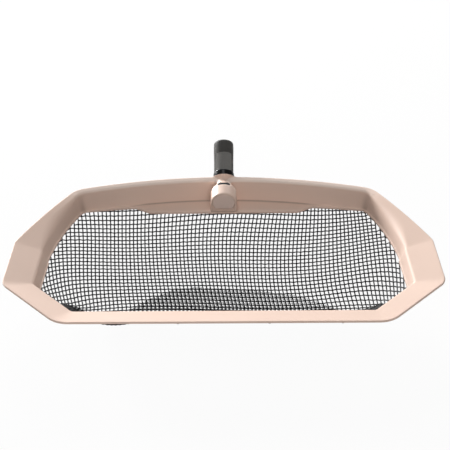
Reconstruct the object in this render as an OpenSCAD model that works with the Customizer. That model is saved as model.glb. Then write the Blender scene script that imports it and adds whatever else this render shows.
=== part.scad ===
// Leaf skimmer net: a moulded scoop frame with a sagging net, a hub on its rear ledge and a tilted pole insert.
// The origin lies on the pole insert's axis, at the start of the full round that guides the pole. X runs across the
// scoop, Y to its rear and Z up. Lengths are in millimetres and angles in degrees.

/* [Scoop] */
// Width of the scoop across its widest corners
scoop_w = 557; // [470:1:620]
// Width of the straight front edge
front_w = 410; // [300:5:440]
// Width between the corners where the side edges end
side_rear_w = 540; // [440:5:600]
// Width between the rear corners
rear_w = 398; // [320:5:440]
// Distance from the front edge back to the widest corners
widest_y = 85; // [60:1:110]
// Distance from the front edge back to where the side edges end
side_rear_y = 180; // [150:1:200]
// Distance from the front edge back to the rear corners
rear_corner_y = 306.5; // [280:0.5:330]
// How far the rear edge bows out behind its corners
rear_bow = 31; // [10:1:40]
// Height of the rim above the underside
rim_h = 29; // [24:0.5:40]
// Radius of the rim's corners in plan
corner_r = 34; // [20:1:44]

/* [Flange] */
// Width of the flange at the front and the sides
flange_w = 37; // [28:0.5:42]
// Width of the lip that the flange narrows to along the rear
lip_w = 8.5; // [8:0.5:12]
// Slope of the flange down towards the net
flange_slope = 14; // [6:1:18]
// How far the steep band under the flange leans in
band_lean = 6.5; // [5:0.5:10]
// Thickness of the moulded walls
wall = 3; // [2.4:0.1:3.4]
// Thickness of the rim's outer edge
edge_t = 3.2; // [3:0.1:4]
// Width of the flat underside that the net is clamped to
land_w = 12; // [12:0.5:13]

/* [Ledge] */
// Width of the straight front edge of the rear ledge
ledge_w = 192; // [140:2:220]
// Width of the curve at each end of the ledge
ledge_end_w = 28; // [20:1:36]
// Distance from the front edge of the scoop back to the ledge
ledge_y = 289; // [280:1:292]
// Width of the floor strip beside the ledge, which narrows to the rear corners
strip_w = 4.7; // [2:0.1:6]
// How much further the rear wall's foot leans in beside the ledge
rear_lean = 4; // [0:0.5:5]
// How much higher the floor lies at the front edge than at the rear
front_lift = 8; // [0:0.5:10]

/* [Net] */
// Depth of the net below the frame at its lowest line
net_sag = 100; // [60:1:120]
// Place of the lowest line, as a share of the way from front to rear
net_low = 0.63; // [0.5:0.01:0.7]
// Number of gaps across the net
net_gaps_x = 25; // [9:1:25]
// Number of gaps from the front of the net to its rear
net_gaps_y = 12; // [6:1:12]
// Thickness of a net strand
strand_d = 1.6; // [1.2:0.1:2.4]
// Width of the hem that binds the net's edge
hem_w = 6; // [4:0.5:6.5]
// Thickness of the hem
hem_t = 1.2; // [1:0.1:2]
// Thickness of the plate of the clamping ring
retainer_t = 2.2; // [2:0.1:3]

/* [Hub] */
// Radius of the hub's hump at its front
hump_r = 17.3; // [16:0.1:19]
// Height of the hump's centre above the ledge
hump_h = 15.5; // [14:0.1:18]
// Lean of the hump's front face
hump_lean = 12; // [6:1:16]
// Radius of the hub's neck where it passes over the rim
neck_r = 10.4; // [10:0.1:11.2]
// Radius of the round plug in the hump's front face
cap_r = 15; // [12:0.1:15.5]
// Depth of the plug's seat
cap_depth = 2.4; // [2:0.1:3]
// Height of the plug's flat lower edge above the ledge
cap_flat_z = 5; // [4:0.1:6]

/* [Pole insert] */
// Tilt of the pole insert above the rim
pole_tilt = 33; // [28:1:36]
// Radius of the insert's outside, which the pole slides over
insert_r = 13.4; // [13.3:0.1:13.9]
// Distance from the shoulder to the full round that guides the pole
guide_s = 33; // [32.5:0.5:34]
// Length of the full round
guide_len = 12; // [10:0.5:12]
// Radius of the insert between the collar and the full round
body_r = 12.8; // [12.7:0.1:12.9]
// Radius of the insert's nose behind the full round
nose_r = 12.8; // [12.6:0.1:12.9]
// Radius of the insert's bore
insert_bore_r = 10.8; // [10.6:0.1:10.8]
// Length of the insert behind the hub's shoulder
insert_len = 50; // [48:1:60]
// Radius of the shoulder at the rear of the hub
shoulder_r = 14; // [13.6:0.1:14.4]
// Radius of the flared collar that the pole's end rests on
collar_r = 14.2; // [14:0.1:14.6]
// Length of the collar along the insert
collar_len = 5; // [4:0.5:6]
// Radius of the spigot that holds the insert in the hub
spigot_r = 9; // [8.5:0.1:9.2]
// Length of the spigot in the hub
spigot_len = 24; // [22:0.5:24]
// Length of the ribbed grip pad
pad_len = 26; // [18:1:26]
// Half of the angle that the grip pad covers
pad_half_angle = 55; // [40:1:58]
// Depth of the pocket that holds the grip pad
pad_depth = 1; // [0.8:0.1:1]
// Number of grooves in the grip pad
pad_grooves = 13; // [7:1:17]

/* [Lock button] */
// Distance from the shoulder to the lock button
button_s = 25; // [23:0.5:26]
// Radius of the lock button
button_r = 3.2; // [2.6:0.1:3.4]
// How far the lock button stands out of the insert
button_out = 4.5; // [3:0.1:5]
// Radius of the button's flange inside the insert
button_flange_r = 4.2; // [3.8:0.1:4.4]
// Thickness of the lock clip's spring strip
clip_t = 0.8; // [0.6:0.1:1]
// Width of the lock clip's spring strip
clip_w = 8; // [6:0.5:9]

/* [Release key] */
// Width of the key's bar across the hub
key_w = 17.2; // [14:0.1:18]
// Length of the key's bar from front to rear
key_len = 4.6; // [4:0.1:5.4]
// Further reach of the key's bar towards the front
key_ahead = 1.6; // [1:0.1:1.8]
// Distance from the ledge's front edge back to the key
key_back = 19; // [18:0.5:20]
// Radius of the key's stem
key_stem_r = 2.4; // [2:0.1:2.6]
// Radius of the lock barrel at the stem's lower end
key_barrel_r = 3.2; // [2.9:0.1:3.4]
// Travel of the key
key_travel = 3; // [2.8:0.1:3.2]
// Radius of the wire of the key's spring
key_wire_r = 0.4; // [0.3:0.05:0.5]
// Number of turns of the key's spring
key_turns = 4; // [3:1:5]

/* [Fasteners] */
// Radius of the screws' shanks
screw_r = 1.25; // [1:0.05:1.3]
// Length of the shanks of the screws that hold the clamping ring
screw_len = 9.5; // [8:0.5:10]
// Length of the shanks of the screws that hold the hub
hub_screw_len = 12.5; // [11:0.5:13.5]
// Radius of the screws' heads
screw_head_r = 2.6; // [2.4:0.1:3]
// Height of the screws' heads
screw_head_h = 1.6; // [1.2:0.1:2]

/* [Clearances] */
// Gap round the spigot, the button, the key and the screws
fit_gap = 0.1; // [0.05:0.01:0.15]
// Gap between the hub and the frame's wall
seam_gap = 0.2; // [0.1:0.05:0.3]

/* [Hidden] */
$fn = 64;
rose = [0.93, 0.78, 0.70];
black = [0.10, 0.10, 0.10];
grey = [0.38, 0.38, 0.37];
steel = [0.72, 0.73, 0.75];

// The scoop is drawn about its own middle: y = 0 half way between its front edge and its rear edge, and z = 1 on the
// top face of the ledge, which is as thick as the walls.
scoop_d = rear_corner_y + rear_bow;
front_y = -scoop_d / 2;
ledge_z = 1;
floor_z = ledge_z - wall;
rim_z = floor_z + rim_h;
// The floor rises towards the front.
function rise(y) = front_lift * max(0, (side_end.y - y) / (side_end.y - front_y));
fall = tan(flange_slope);
ledge_front_y = front_y + ledge_y;
edge_turn = 6;
foot_in = 1.2;

// Vertices of the outer rim from the middle of the front edge round to the middle of the rear edge: place, corner
// radius, flange width and share of the rear wall's extra lean.
ledge_half = ledge_w / 2 + ledge_end_w;
rear_arc_x = concat(
    [for (t = [0.32, 0.65, 0.85]) rear_w / 2 + t * (ledge_half - rear_w / 2)],
    [for (t = [1, 0.75, 0.5, 0.25]) ledge_w / 2 + t * ledge_end_w],
    [for (t = [1, 0.75, 0.5, 0.25]) t * ledge_w / 2]);
side_end = [side_rear_w / 2, front_y + side_rear_y];
rear_end = [rear_w / 2, front_y + rear_corner_y];
function rear_edge_y(x) = front_y + rear_corner_y + rear_bow * (1 - pow(2 * x / rear_w, 2));
function lean_share(x) = min(1, (rear_w / 2 - x) / (rear_w / 2 - ledge_half));
function half_rim() = concat(
    [[[0, front_y], 0, flange_w, 0],
     [[front_w / 2, front_y], corner_r, flange_w, 0],
     [[scoop_w / 2, front_y + widest_y], corner_r, flange_w, 0],
     [side_end, corner_r, flange_w, 0]],
    [for (t = [0.16, 0.32, 0.48, 0.64, 0.82])
        [side_end + t * (rear_end - side_end), 0, lip_w + (flange_w - lip_w) * pow(1 - t, 1.8), 0]],
    [[rear_end, corner_r, lip_w, 0]],
    [for (x = rear_arc_x) [[x, rear_edge_y(x)], 0, lip_w, lean_share(x)]],
    [[[0, rear_edge_y(0)], 0, lip_w, 1]]);
half = half_rim();
half_n = len(half);
rim = concat(half, [for (i = [half_n - 2 : -1 : 1])
    [[-half[i][0].x, half[i][0].y], half[i][1], half[i][2], half[i][3]]]);
rim_n = len(rim);
function at(i) = rim[(i + rim_n) % rim_n][0];
function unit(v) = v / norm(v);
function inward(p, q) = let (d = unit(q - p)) [-d.y, d.x];
function mitre(i) = let (a = inward(at(i - 1), at(i)), b = inward(at(i), at(i + 1))) (a + b) / (1 + a * b);
mitres = [for (i = [0 : rim_n - 1]) mitre(i)];

// The net's boundary: inside the band's foot, and along the front of the ledge at the rear.
function smooth(t) = let (u = max(0, min(1, t))) u * u * (3 - 2 * u);
function foot(i) = rim[i][2] + band_lean + rear_lean * rim[i][3];
function plain_edge(i) = at(i) + (foot(i) + foot_in + strip_w * rim[i][3]) * mitres[i];
function on_ledge(p) = p.y > 0 && abs(p.x) < ledge_half - 0.01;
function ledge_share(x) = smooth((ledge_half - abs(x)) / ledge_end_w);
function net_edge(i) = let (p = at(i), q = plain_edge(i))
    on_ledge(p) ? [p.x, q.y + (ledge_front_y - q.y) * ledge_share(p.x)] : q;
net_edges = [for (i = [0 : rim_n - 1]) net_edge(i)];
function out_dir(i) = on_ledge(at(i)) ? [0, 1] : -mitres[i];

// A ring of points round the scoop. Corners with a radius are rounded by a curve of edge_turn steps, whose reach
// shrinks with the distance that the ring lies inside the rim.
function corner_turn(i) = let (a = unit(at(i) - at(i - 1)), b = unit(at(i + 1) - at(i))) acos(min(1, a * b));
function bend(a, v, c) = [for (k = [0 : edge_turn]) let (t = k / edge_turn)
    (1 - t) * (1 - t) * a + 2 * t * (1 - t) * v + t * t * c];
function round_ring(v, inset) = [for (i = [0 : rim_n - 1])
    let (r = rim[i][1],
         reach = max(r - inset[i], 7) * tan(corner_turn(i) / 2),
         back = v[(i + rim_n - 1) % rim_n] - v[i],
         ahead = v[(i + 1) % rim_n] - v[i])
    each (r == 0 ? [v[i]] : bend(v[i] + reach * unit(back), v[i], v[i] + reach * unit(ahead)))];
function spread(values) = [for (i = [0 : rim_n - 1]) each (rim[i][1] == 0 ? [values[i]]
    : [for (k = [0 : edge_turn]) values[i]])];
function lift(flat, heights) = [for (k = [0 : len(flat) - 1]) [flat[k].x, flat[k].y, heights[k]]];

// A ring at a distance inside the rim, w_share of the flange's width plus add, at the height z_share times that
// width plus z. A ring of the wall's foot also has the extra lean of the rear wall and the floor's rise.
function rim_ring(w_share, add, z_share, z, down = 0) =
    let (inset = [for (i = [0 : rim_n - 1]) w_share * rim[i][2] + add + down * rear_lean * rim[i][3]],
         flat = round_ring([for (i = [0 : rim_n - 1]) at(i) + inset[i] * mitres[i]], inset),
         heights = spread([for (i = [0 : rim_n - 1]) z_share * rim[i][2] + z]))
    lift(flat, [for (k = [0 : len(flat) - 1]) heights[k] + down * rise(flat[k].y)]);
// A ring at a distance outside the net's boundary.
function edge_ring(out, z) =
    let (flat = round_ring([for (i = [0 : rim_n - 1]) net_edges[i] + out * out_dir(i)],
            [for (i = [0 : rim_n - 1]) foot(i)]))
    lift(flat, [for (q = flat) z + rise(q.y)]);

// A closed solid through rings of equal length; the last ring joins the first, or both ends are capped.
function tube_faces(rings, count, closed) = [
    for (j = [0 : rings - (closed ? 1 : 2)], k = [0 : count - 1])
        let (a = j * count + k, b = j * count + (k + 1) % count,
             c = ((j + 1) % rings) * count + (k + 1) % count, d = ((j + 1) % rings) * count + k)
        each [[a, b, c], [a, c, d]]];
module ring_solid(rings) {
    points = [for (r = rings) each r];
    polyhedron(points, tube_faces(len(rings), len(rings[0]), true));
}
module capped_solid(rings) {
    count = len(rings[0]);
    points = [for (r = rings) each r];
    start_cap = [[for (k = [count - 1 : -1 : 0]) k]];
    end_cap = [[for (k = [0 : count - 1]) (len(rings) - 1) * count + k]];
    polyhedron(points, concat(tube_faces(len(rings), count, false), start_cap, end_cap));
}

// The pole's axis starts at the middle of the hub's shoulder, behind the rim and below its top.
shoulder_out = 5.25;
shoulder_drop = 3.7;
shoulder = [0, rear_edge_y(0) + shoulder_out, rim_z - shoulder_drop];
pole_dir = [0, cos(pole_tilt), sin(pole_tilt)];
origin = shoulder + guide_s * pole_dir;
module in_place() {
    translate(-origin) children();
}
// Draws along the pole's axis: +Z runs from the shoulder to the insert's tip, and -Y is the insert's upper side.
module from_shoulder() {
    translate(shoulder) rotate([pole_tilt - 90, 0, 0]) children();
}
module on_pole() {
    in_place() from_shoulder() children();
}

// Places of the clamping screws, as a vertex of the rim, a share of the way to the next and a side of the scoop.
screw_out = 9.6;
screw_spots = [[0, 0.3], [0, 0.78], [1, 0.5], [2, 0.5], [6, 0], [11, 0]];
function spot_place(s) = let (i = s[0], p = net_edges[i] + screw_out * out_dir(i),
    q = net_edges[i + 1] + screw_out * out_dir(i + 1)) p + s[1] * (q - p);
ring_screws = [for (s = screw_spots, side = [-1, 1]) let (p = spot_place(s)) [side * p.x, p.y, rise(p.y)]];
hem_z = floor_z - hem_t;
ring_z = hem_z - retainer_t;
cover_t = 2.4;
cover_z = floor_z - cover_t;
key_mid_y = ledge_front_y + key_back;
front_screw_x = hump_r - 5.3;
rear_screw_x = 11.4;
rear_screw_back = 7.7;
front_screws = [for (side = [-1, 1]) [side * front_screw_x, ledge_front_y + screw_out, 0]];
rear_screws = [for (side = [-1, 1]) [side * rear_screw_x, key_mid_y + rear_screw_back, 0]];
hub_hole_top = cover_z + hub_screw_len + 0.4;
// A screw's head keeps a small gap to the face that it clamps, because that face rises towards the front.
head_gap = 0.15;
module screw(p, seat_z, shank) {
    translate([p.x, p.y, seat_z + p.z - head_gap]) {
        cylinder(r = screw_r, h = shank);
        translate([0, 0, -screw_head_h]) cylinder(r1 = screw_head_r - 0.6, r2 = screw_head_r, h = screw_head_h);
    }
}
module screw_holes(places, from_z, to_z) {
    for (p = places) translate([p.x, p.y, from_z + p.z]) cylinder(r = screw_r + fit_gap, h = to_z - from_z);
}

// The hump of the hub: rings from its front face, up over the rim, to the round shoulder. A ring's lower half
// squares off to stand on the ledge.
hump_front = [0, ledge_front_y + 0.5 - tan(hump_lean) * hump_h, ledge_z + hump_h];
function hump_mid(f) = [0, hump_front.y + f * (shoulder.y - hump_front.y),
    hump_front.z + pow(f, 1.15) * (shoulder.z - hump_front.z)];
function hump_radius(f) = neck_r + (hump_r - neck_r) * (1 - smooth((f - 0.4) / 0.36))
    + (shoulder_r - neck_r) * smooth((f - 0.8) / 0.17);
function hump_ring(f, grow, count) =
    let (c = hump_mid(f), r = hump_radius(f) + grow, round_share = smooth((f - 0.55) / 0.25),
         tilt = hump_lean + (pole_tilt - hump_lean) * smooth(f),
         depth = (c.z - ledge_z) * (1 - round_share) + r * cos(tilt) * round_share,
         power = 0.3 + 0.7 * round_share)
    [for (k = [0 : count - 1])
        let (a = 360 * k / count,
             up = sin(a) >= 0,
             x = up ? r * cos(a) : r * sign(cos(a)) * pow(abs(cos(a)), power),
             z = up ? r * cos(tilt) * sin(a) : -depth * pow(abs(sin(a)), power))
        [x, c.y - tan(tilt) * z, c.z + z]];
hump_steps = [0.05, 0.12, 0.2, 0.28, 0.36, 0.42, 0.47, 0.52, 0.57, 0.62, 0.67, 0.72, 0.77, 0.82, 0.86, 0.9, 0.94,
    0.98, 1];
hump_count = 44;
module hump() {
    capped_solid(concat([hump_ring(0, -1.2, hump_count), hump_ring(0.015, -0.4, hump_count)],
        [for (f = hump_steps) hump_ring(f, 0, hump_count)]));
}
sleeve_r = spigot_r + 2.6;
module hub_envelope(gap) {
    capped_solid([for (f = hump_steps) if (f > 0.3) hump_ring(f, gap, hump_count)]);
    from_shoulder() translate([0, 0, -spigot_len - 2.5])
        cylinder(r = sleeve_r + gap, h = spigot_len + 2.5);
}
// The hub is hollow below its key: a cavity, a shelf over it and a shaft that holds the key's spring.
cavity_w = 15;
cavity_front = key_mid_y - 8;
cavity_rear = key_mid_y + 12.5;
shelf_z = ledge_z + hump_h - 0.5;
shelf_t = 2;
key_seat_z = shelf_z + shelf_t + 9;
shaft_r = 5.4;
// A tab on the end of the spigot reaches into the cavity, where the key's barrel holds it.
spigot_end = shoulder - spigot_len * pole_dir;
tab_w = 12;
tab_t = 2.4;
tab_z = spigot_end.z - tab_t / 2 - 0.2;
tab_front = key_mid_y - 6.8;
tab_rear = spigot_end.y + 3;
module tab_slot() {
    translate([-tab_w / 2 - 0.3, key_mid_y, tab_z - 0.3]) cube([tab_w + 0.6, spigot_end.y + 2 - key_mid_y, tab_t + 0.6]);
}

boss_r = 3.1;
boss_h = 9.1;
module scoop_frame() {
    color(rose) in_place() difference() {
        union() {
            ring_solid([
                rim_ring(0, 0, 0, rim_z - edge_t + 0.6),
                rim_ring(0, 0.6, 0, rim_z - edge_t),
                rim_ring(0, wall, 0, rim_z - edge_t - 0.2),
                rim_ring(1, 0.9 - wall, -fall, rim_z - wall - 1.2),
                rim_ring(1, band_lean - wall - 0.5, 0, ledge_z, 1),
                rim_ring(1, band_lean + foot_in - land_w, 0, ledge_z, 1),
                rim_ring(1, band_lean + foot_in - land_w, 0, floor_z, 1),
                edge_ring(0.3, floor_z),
                edge_ring(0, floor_z + 0.4),
                edge_ring(0, ledge_z - 0.4),
                edge_ring(0.25, ledge_z),
                rim_ring(1, band_lean + 0.7, 0, ledge_z, 1),
                rim_ring(1, band_lean - 0.1, 0, ledge_z + 0.7, 1),
                rim_ring(1, band_lean - 0.7, 0, ledge_z + 2.2, 1),
                rim_ring(1, 1.3, -fall, rim_z - 3.4),
                rim_ring(1, 0.8, -fall, rim_z - 1.7),
                rim_ring(1, 0.1, -fall, rim_z - 0.6),
                rim_ring(1, -0.9, -fall, rim_z + 0.9 * fall - 0.15),
                rim_ring(1, -2.2, -fall, rim_z + 2.2 * fall),
                rim_ring(0, 2.2, 0, rim_z - 2.2 * fall),
                rim_ring(0, 1, 0, rim_z - 0.5),
                rim_ring(0, 0.3, 0, rim_z - 1.1),
                rim_ring(0, 0, 0, rim_z - 2.2)]);
            for (p = ring_screws) translate([p.x, p.y, floor_z + p.z + 0.5]) cylinder(r = boss_r, h = boss_h);
        }
        hub_envelope(seam_gap);
        screw_holes(ring_screws, floor_z - 1, ring_z + screw_len + 0.4);
        screw_holes(concat(front_screws, rear_screws), floor_z - 1, ledge_z + 1);
        translate([-cavity_w / 2, cavity_front + 2.2, floor_z - 1])
            cube([cavity_w, cavity_rear - cavity_front - 2.2, wall + 2]);
    }
}

module hub_housing() {
    color(rose) in_place() difference() {
        union() {
            hump();
            from_shoulder() translate([0, 0, -spigot_len - 2.5])
                cylinder(r = sleeve_r, h = spigot_len + 2.5);
        }
        from_shoulder() translate([0, 0, -spigot_len - 0.4])
            cylinder(r = spigot_r + fit_gap, h = spigot_len + 2);
        translate([-cavity_w / 2, cavity_front, ledge_z - 1])
            cube([cavity_w, cavity_rear - cavity_front, shelf_z - ledge_z + 1]);
        translate([0, key_mid_y, shelf_z - 1]) cylinder(r = key_barrel_r + fit_gap, h = shelf_t + 2);
        translate([0, key_mid_y, shelf_z + shelf_t]) cylinder(r = shaft_r, h = key_seat_z - shelf_z);
        translate([-key_w / 2 - 2 * fit_gap, key_mid_y - key_len / 2 - key_ahead - 2 * fit_gap, key_seat_z - key_travel - 0.4])
            cube([key_w + 4 * fit_gap, key_len + key_ahead + 4 * fit_gap, hump_r]);
        translate(hump_front) rotate([90 + hump_lean, 0, 0]) translate([0, 0, -cap_depth])
            cap_shape(cap_r + fit_gap, cap_flat_z - fit_gap, cap_depth + 5);
        tab_slot();
        screw_holes(concat(front_screws, rear_screws), ledge_z - 1, hub_hole_top);
    }
}
// The plug's outline: a round plate with a flat lower edge, whose corners are rounded.
module cap_shape(r, flat_z, h) {
    cut = (hump_h - flat_z) / cos(hump_lean);
    intersection() {
        cylinder(r = r, h = h);
        translate([-r, -cut, 0]) cube([2 * r, r + cut, h]);
    }
}
module hub_cap() {
    color(rose) in_place() translate(hump_front) rotate([90 + hump_lean, 0, 0]) translate([0, 0, -cap_depth])
        union() {
            cap_shape(cap_r, cap_flat_z, cap_depth - 0.5);
            cap_shape(cap_r - 0.5, cap_flat_z + 0.5, cap_depth);
        }
}
module hub_bottom_cover() {
    cover_front = ledge_front_y + land_w + 0.3;
    cover_w = 32;
    color(black) in_place() difference() {
        union() {
            translate([-cover_w / 2, cover_front, cover_z]) cube([cover_w, cavity_rear + 6 - cover_front, cover_t]);
            translate([-cavity_w / 2 + 0.2, cavity_front + 2.4, cover_z + 1])
                cube([cavity_w - 0.4, cavity_rear - cavity_front - 2.6, ledge_z - cover_z - 1]);
        }
        screw_holes(rear_screws, cover_z - 1, floor_z + 1);
    }
}
module hub_screws() {
    color(steel) in_place() {
        for (p = front_screws) screw(p, ring_z, hub_screw_len);
        for (p = rear_screws) screw(p, cover_z, hub_screw_len);
    }
}

// The net hangs inside the hem's inner edge. Its gaps are far larger than the real mesh's.
net_out = 0.3;
net_top = floor_z - strand_d / 2 - 0.05;
net_rim = edge_ring(net_out, 0);
net_side = [for (p = net_rim) if (p.x > 0) [p.x, p.y]];
// Places of the net's side edges, near the two corners where the rim's side edge starts and ends.
net_front_w = net_edges[2].x - 1;
net_rear_w = net_edges[3].x - 1;
side_split = (net_edges[2].y + net_edges[3].y) / 2;
function between(a, b, x) = a.y + (b.y - a.y) * (x - a.x) / (b.x - a.x);
function crossings(x, rear) = [for (k = [0 : len(net_side) - 2]) let (a = net_side[k], b = net_side[k + 1])
    if ((a.y + b.y > 2 * side_split) == rear && (a.x - x) * (b.x - x) <= 0 && a.x != b.x) between(a, b, x)];
function bound(x, rear) = let (end = rear ? net_side[len(net_side) - 1] : net_side[0],
    hits = crossings(max(abs(x), end.x), rear)) rear ? min(hits) : max(hits);
net_bend = ln(0.5) / ln(net_low);
function net_column(u) = let (a = u * net_front_w, b = u * net_rear_w, far = bound(b, true), near = bound(a, false))
    [[a, near], [b, far], far - near];
net_len = net_column(0)[2];
function net_depth(u, v, run) = net_sag * pow(max(0, sin(180 * pow(v, net_bend))), 0.85)
    * min(1, run / net_len) * sqrt(1 - pow(u, 8));
function net_point(u, v, column) = let (p = column[0] + v * (column[1] - column[0]))
    [p.x, p.y, net_top + rise(p.y) - net_depth(u, v, column[2])];
module net() {
    nx = net_gaps_x;
    ny = net_gaps_y;
    su = strand_d / net_front_w / 2;
    sv = strand_d / net_len;
    us = [for (i = [0 : nx]) let (m = (-1 + 2 * i / nx) * (1 - su))
        each [m - su, m + su, if (i < nx) m + (1 - su) / nx]];
    vs = [for (j = [0 : ny]) let (m = j / ny) each [m * (1 - sv), m * (1 - sv) + sv]];
    cols = len(us);
    rows = len(vs);
    columns = [for (u = us) net_column(u)];
    top = [for (v = vs, i = [0 : cols - 1]) net_point(us[i], v, columns[i]) + [0, 0, strand_d / 2]];
    under = [for (p = top) p - [0, 0, strand_d]];
    shift = cols * rows;
    function gap(i, j) = i % 3 > 0 && j % 2 == 1;
    function open(i, j) = i < 0 || j < 0 || i >= cols - 1 || j >= rows - 1 || gap(i, j);
    function quad(a, b, c, d) = [[a, b, c], [a, c, d]];
    faces = [for (j = [0 : rows - 2], i = [0 : cols - 2]) if (!gap(i, j))
        let (a = j * cols + i, b = a + 1, c = a + cols + 1, d = a + cols)
        each concat(quad(a, d, c, b), quad(a + shift, b + shift, c + shift, d + shift),
            open(i, j - 1) ? quad(a, b, b + shift, a + shift) : [],
            open(i + 1, j) ? quad(b, c, c + shift, b + shift) : [],
            open(i, j + 1) ? quad(c, d, d + shift, c + shift) : [],
            open(i - 1, j) ? quad(d, a, a + shift, d + shift) : [])];
    color(black) in_place() polyhedron(concat(top, under), faces);
}
hem_in = 0.9;
module net_hem() {
    color(black) in_place() ring_solid([
        edge_ring(hem_in, hem_z),
        edge_ring(hem_in, floor_z),
        edge_ring(hem_in + hem_w, floor_z),
        edge_ring(hem_in + hem_w, hem_z)]);
}
module net_retainer() {
    hem_out = hem_in + hem_w + 0.4;
    color(black) in_place() difference() {
        ring_solid([
            edge_ring(1.2, ring_z + 0.5),
            edge_ring(1.2, hem_z),
            edge_ring(hem_out, hem_z),
            edge_ring(hem_out, floor_z),
            edge_ring(land_w - 0.2, floor_z),
            edge_ring(land_w - 0.2, ring_z + 0.5),
            edge_ring(land_w - 0.7, ring_z),
            edge_ring(1.7, ring_z)]);
        screw_holes(concat(ring_screws, front_screws), ring_z - 1, floor_z + 1);
    }
}
module retainer_screws() {
    color(steel) in_place() for (p = ring_screws) screw(p, ring_z, screw_len);
}

pad_start = collar_len + 0.5;
plug_len = 4;
tube_end = insert_len - plug_len;
module sector(inner, outer, half_angle, h) {
    rotate([0, 0, -90 - half_angle]) rotate_extrude(angle = 2 * half_angle)
        translate([inner, 0]) square([outer - inner, h]);
}
module insert_core() {
    spigot_bore = 6.2;
    color(black) {
        on_pole() difference() {
            union() {
                translate([0, 0, collar_len]) cylinder(r = body_r, h = guide_s + guide_len - collar_len);
                translate([0, 0, guide_s]) cylinder(r = insert_r, h = guide_len);
                translate([0, 0, guide_s + guide_len - 1]) cylinder(r = nose_r, h = tube_end - guide_s - guide_len + 1);
                cylinder(r = collar_r - 2.2, h = collar_len + 1);
                translate([0, 0, -spigot_len]) cylinder(r = spigot_r, h = spigot_len + 1);
            }
            translate([0, 0, 4]) cylinder(r = insert_bore_r, h = insert_len);
            translate([0, 0, 6 - spigot_len]) cylinder(r = spigot_bore, h = spigot_len);
            translate([0, 0, button_s]) rotate([-90, 0, 0]) cylinder(r = button_r + fit_gap, h = insert_r + 2);
            translate([0, 0, pad_start]) sector(body_r - pad_depth, body_r + 1, pad_half_angle, pad_len);
        }
        in_place() difference() {
            translate([-tab_w / 2, tab_front, tab_z]) cube([tab_w, tab_rear - tab_front, tab_t]);
            translate([0, key_mid_y, tab_z - 1]) cylinder(r = key_barrel_r + 2 * fit_gap, h = tab_t + 2);
            translate([-key_stem_r - 2 * fit_gap, key_mid_y - 10, tab_z - 1])
                cube([2 * key_stem_r + 4 * fit_gap, 10, tab_t + 2]);
        }
    }
}
module insert_collar() {
    inner = collar_r - 2.2 + fit_gap;
    color(black) on_pole() rotate_extrude() polygon([
        [inner, 0], [collar_r, 0], [collar_r, collar_len - 1.2], [collar_r - 0.3, collar_len],
        [inner, collar_len]]);
}
module grip_pad() {
    slack = 0.4;
    groove_d = 0.5;
    groove_w = 0.9;
    color(grey) on_pole() translate([0, 0, pad_start + fit_gap]) difference() {
        sector(body_r - pad_depth, body_r, pad_half_angle - slack, pad_len - 2 * fit_gap);
        for (k = [1 : pad_grooves])
            rotate([0, 0, -90 - pad_half_angle + 2 * pad_half_angle * k / (pad_grooves + 1)])
                translate([body_r - groove_d, -groove_w / 2, 1.2]) cube([2, groove_w, pad_len - 2 * fit_gap - 2.4]);
    }
}
module insert_end_plug() {
    nose = 3;
    color(black) on_pole() rotate_extrude() polygon(concat(
        [[0, tube_end - 3], [insert_bore_r - fit_gap, tube_end - 3], [insert_bore_r - fit_gap, tube_end],
         [nose_r, tube_end]],
        [for (a = [0 : 15 : 90]) [nose_r - nose + nose * cos(a), insert_len - nose + nose * sin(a)]],
        [[0, insert_len]]));
}
flange_t = 1.3;
button_seat = sqrt(insert_bore_r * insert_bore_r - button_flange_r * button_flange_r) - flange_t - fit_gap;
module lock_button() {
    tip = body_r + button_out;
    dome = 1.6;
    color(steel) on_pole() translate([0, 0, button_s]) rotate([-90, 0, 0]) rotate_extrude() polygon(concat(
        [[0, button_seat], [button_flange_r, button_seat], [button_flange_r, button_seat + flange_t],
         [button_r, button_seat + flange_t]],
        [for (a = [0 : 15 : 90]) [button_r - dome + dome * cos(a), tip - dome + dome * sin(a)]],
        [[0, tip]]));
}
// The lock clip is a strip bent to a V: its lower leg presses on the button and its upper leg on the bore.
module lock_clip() {
    bend_z = button_s - 13;
    bend_r = 3;
    tip_z = button_s + 4;
    flat_z = button_s - 5;
    lower_y = button_seat - 0.1;
    upper_y = -insert_bore_r + 1;
    outer = concat(
        [[tip_z, lower_y], [flat_z, lower_y]],
        [for (a = [0 : 15 : 180]) [bend_z - bend_r * sin(a), bend_r * cos(a)]],
        [[tip_z, upper_y]]);
    inner = concat(
        [[tip_z, upper_y + clip_t]],
        [for (a = [180 : -15 : 0]) [bend_z - (bend_r - clip_t) * sin(a), (bend_r - clip_t) * cos(a)]],
        [[flat_z, lower_y - clip_t], [tip_z, lower_y - clip_t]]);
    color(steel) on_pole() translate([clip_w / 2, 0, 0]) rotate([0, -90, 0])
        linear_extrude(clip_w) polygon(concat(outer, inner));
}
module release_key() {
    top_r = hump_r - 1.2;
    top_z = hump_mid(0.42).z;
    color(black) in_place() translate([0, key_mid_y, 0]) {
        intersection() {
            translate([-key_w / 2, -key_len / 2 - key_ahead, key_seat_z]) cube([key_w, key_len + key_ahead, 12]);
            translate([0, 10, top_z]) rotate([90, 0, 0]) cylinder(r = top_r, h = 20);
        }
        difference() {
            union() {
                translate([0, 0, tab_z + tab_t]) cylinder(r = key_stem_r, h = key_seat_z + 1 - tab_z - tab_t);
                translate([0, 0, tab_z - 0.2]) cylinder(r = key_barrel_r, h = tab_t + 0.4);
            }
            key_groove();
        }
    }
}
ring_top = shelf_z - 0.2;
ring_t = 1;
module key_groove() {
    translate([0, 0, ring_top - ring_t - 0.05]) difference() {
        cylinder(r = key_stem_r + 2, h = ring_t + 0.1);
        translate([0, 0, -1]) cylinder(r = key_stem_r - 0.5, h = ring_t + 2);
    }
}
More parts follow.
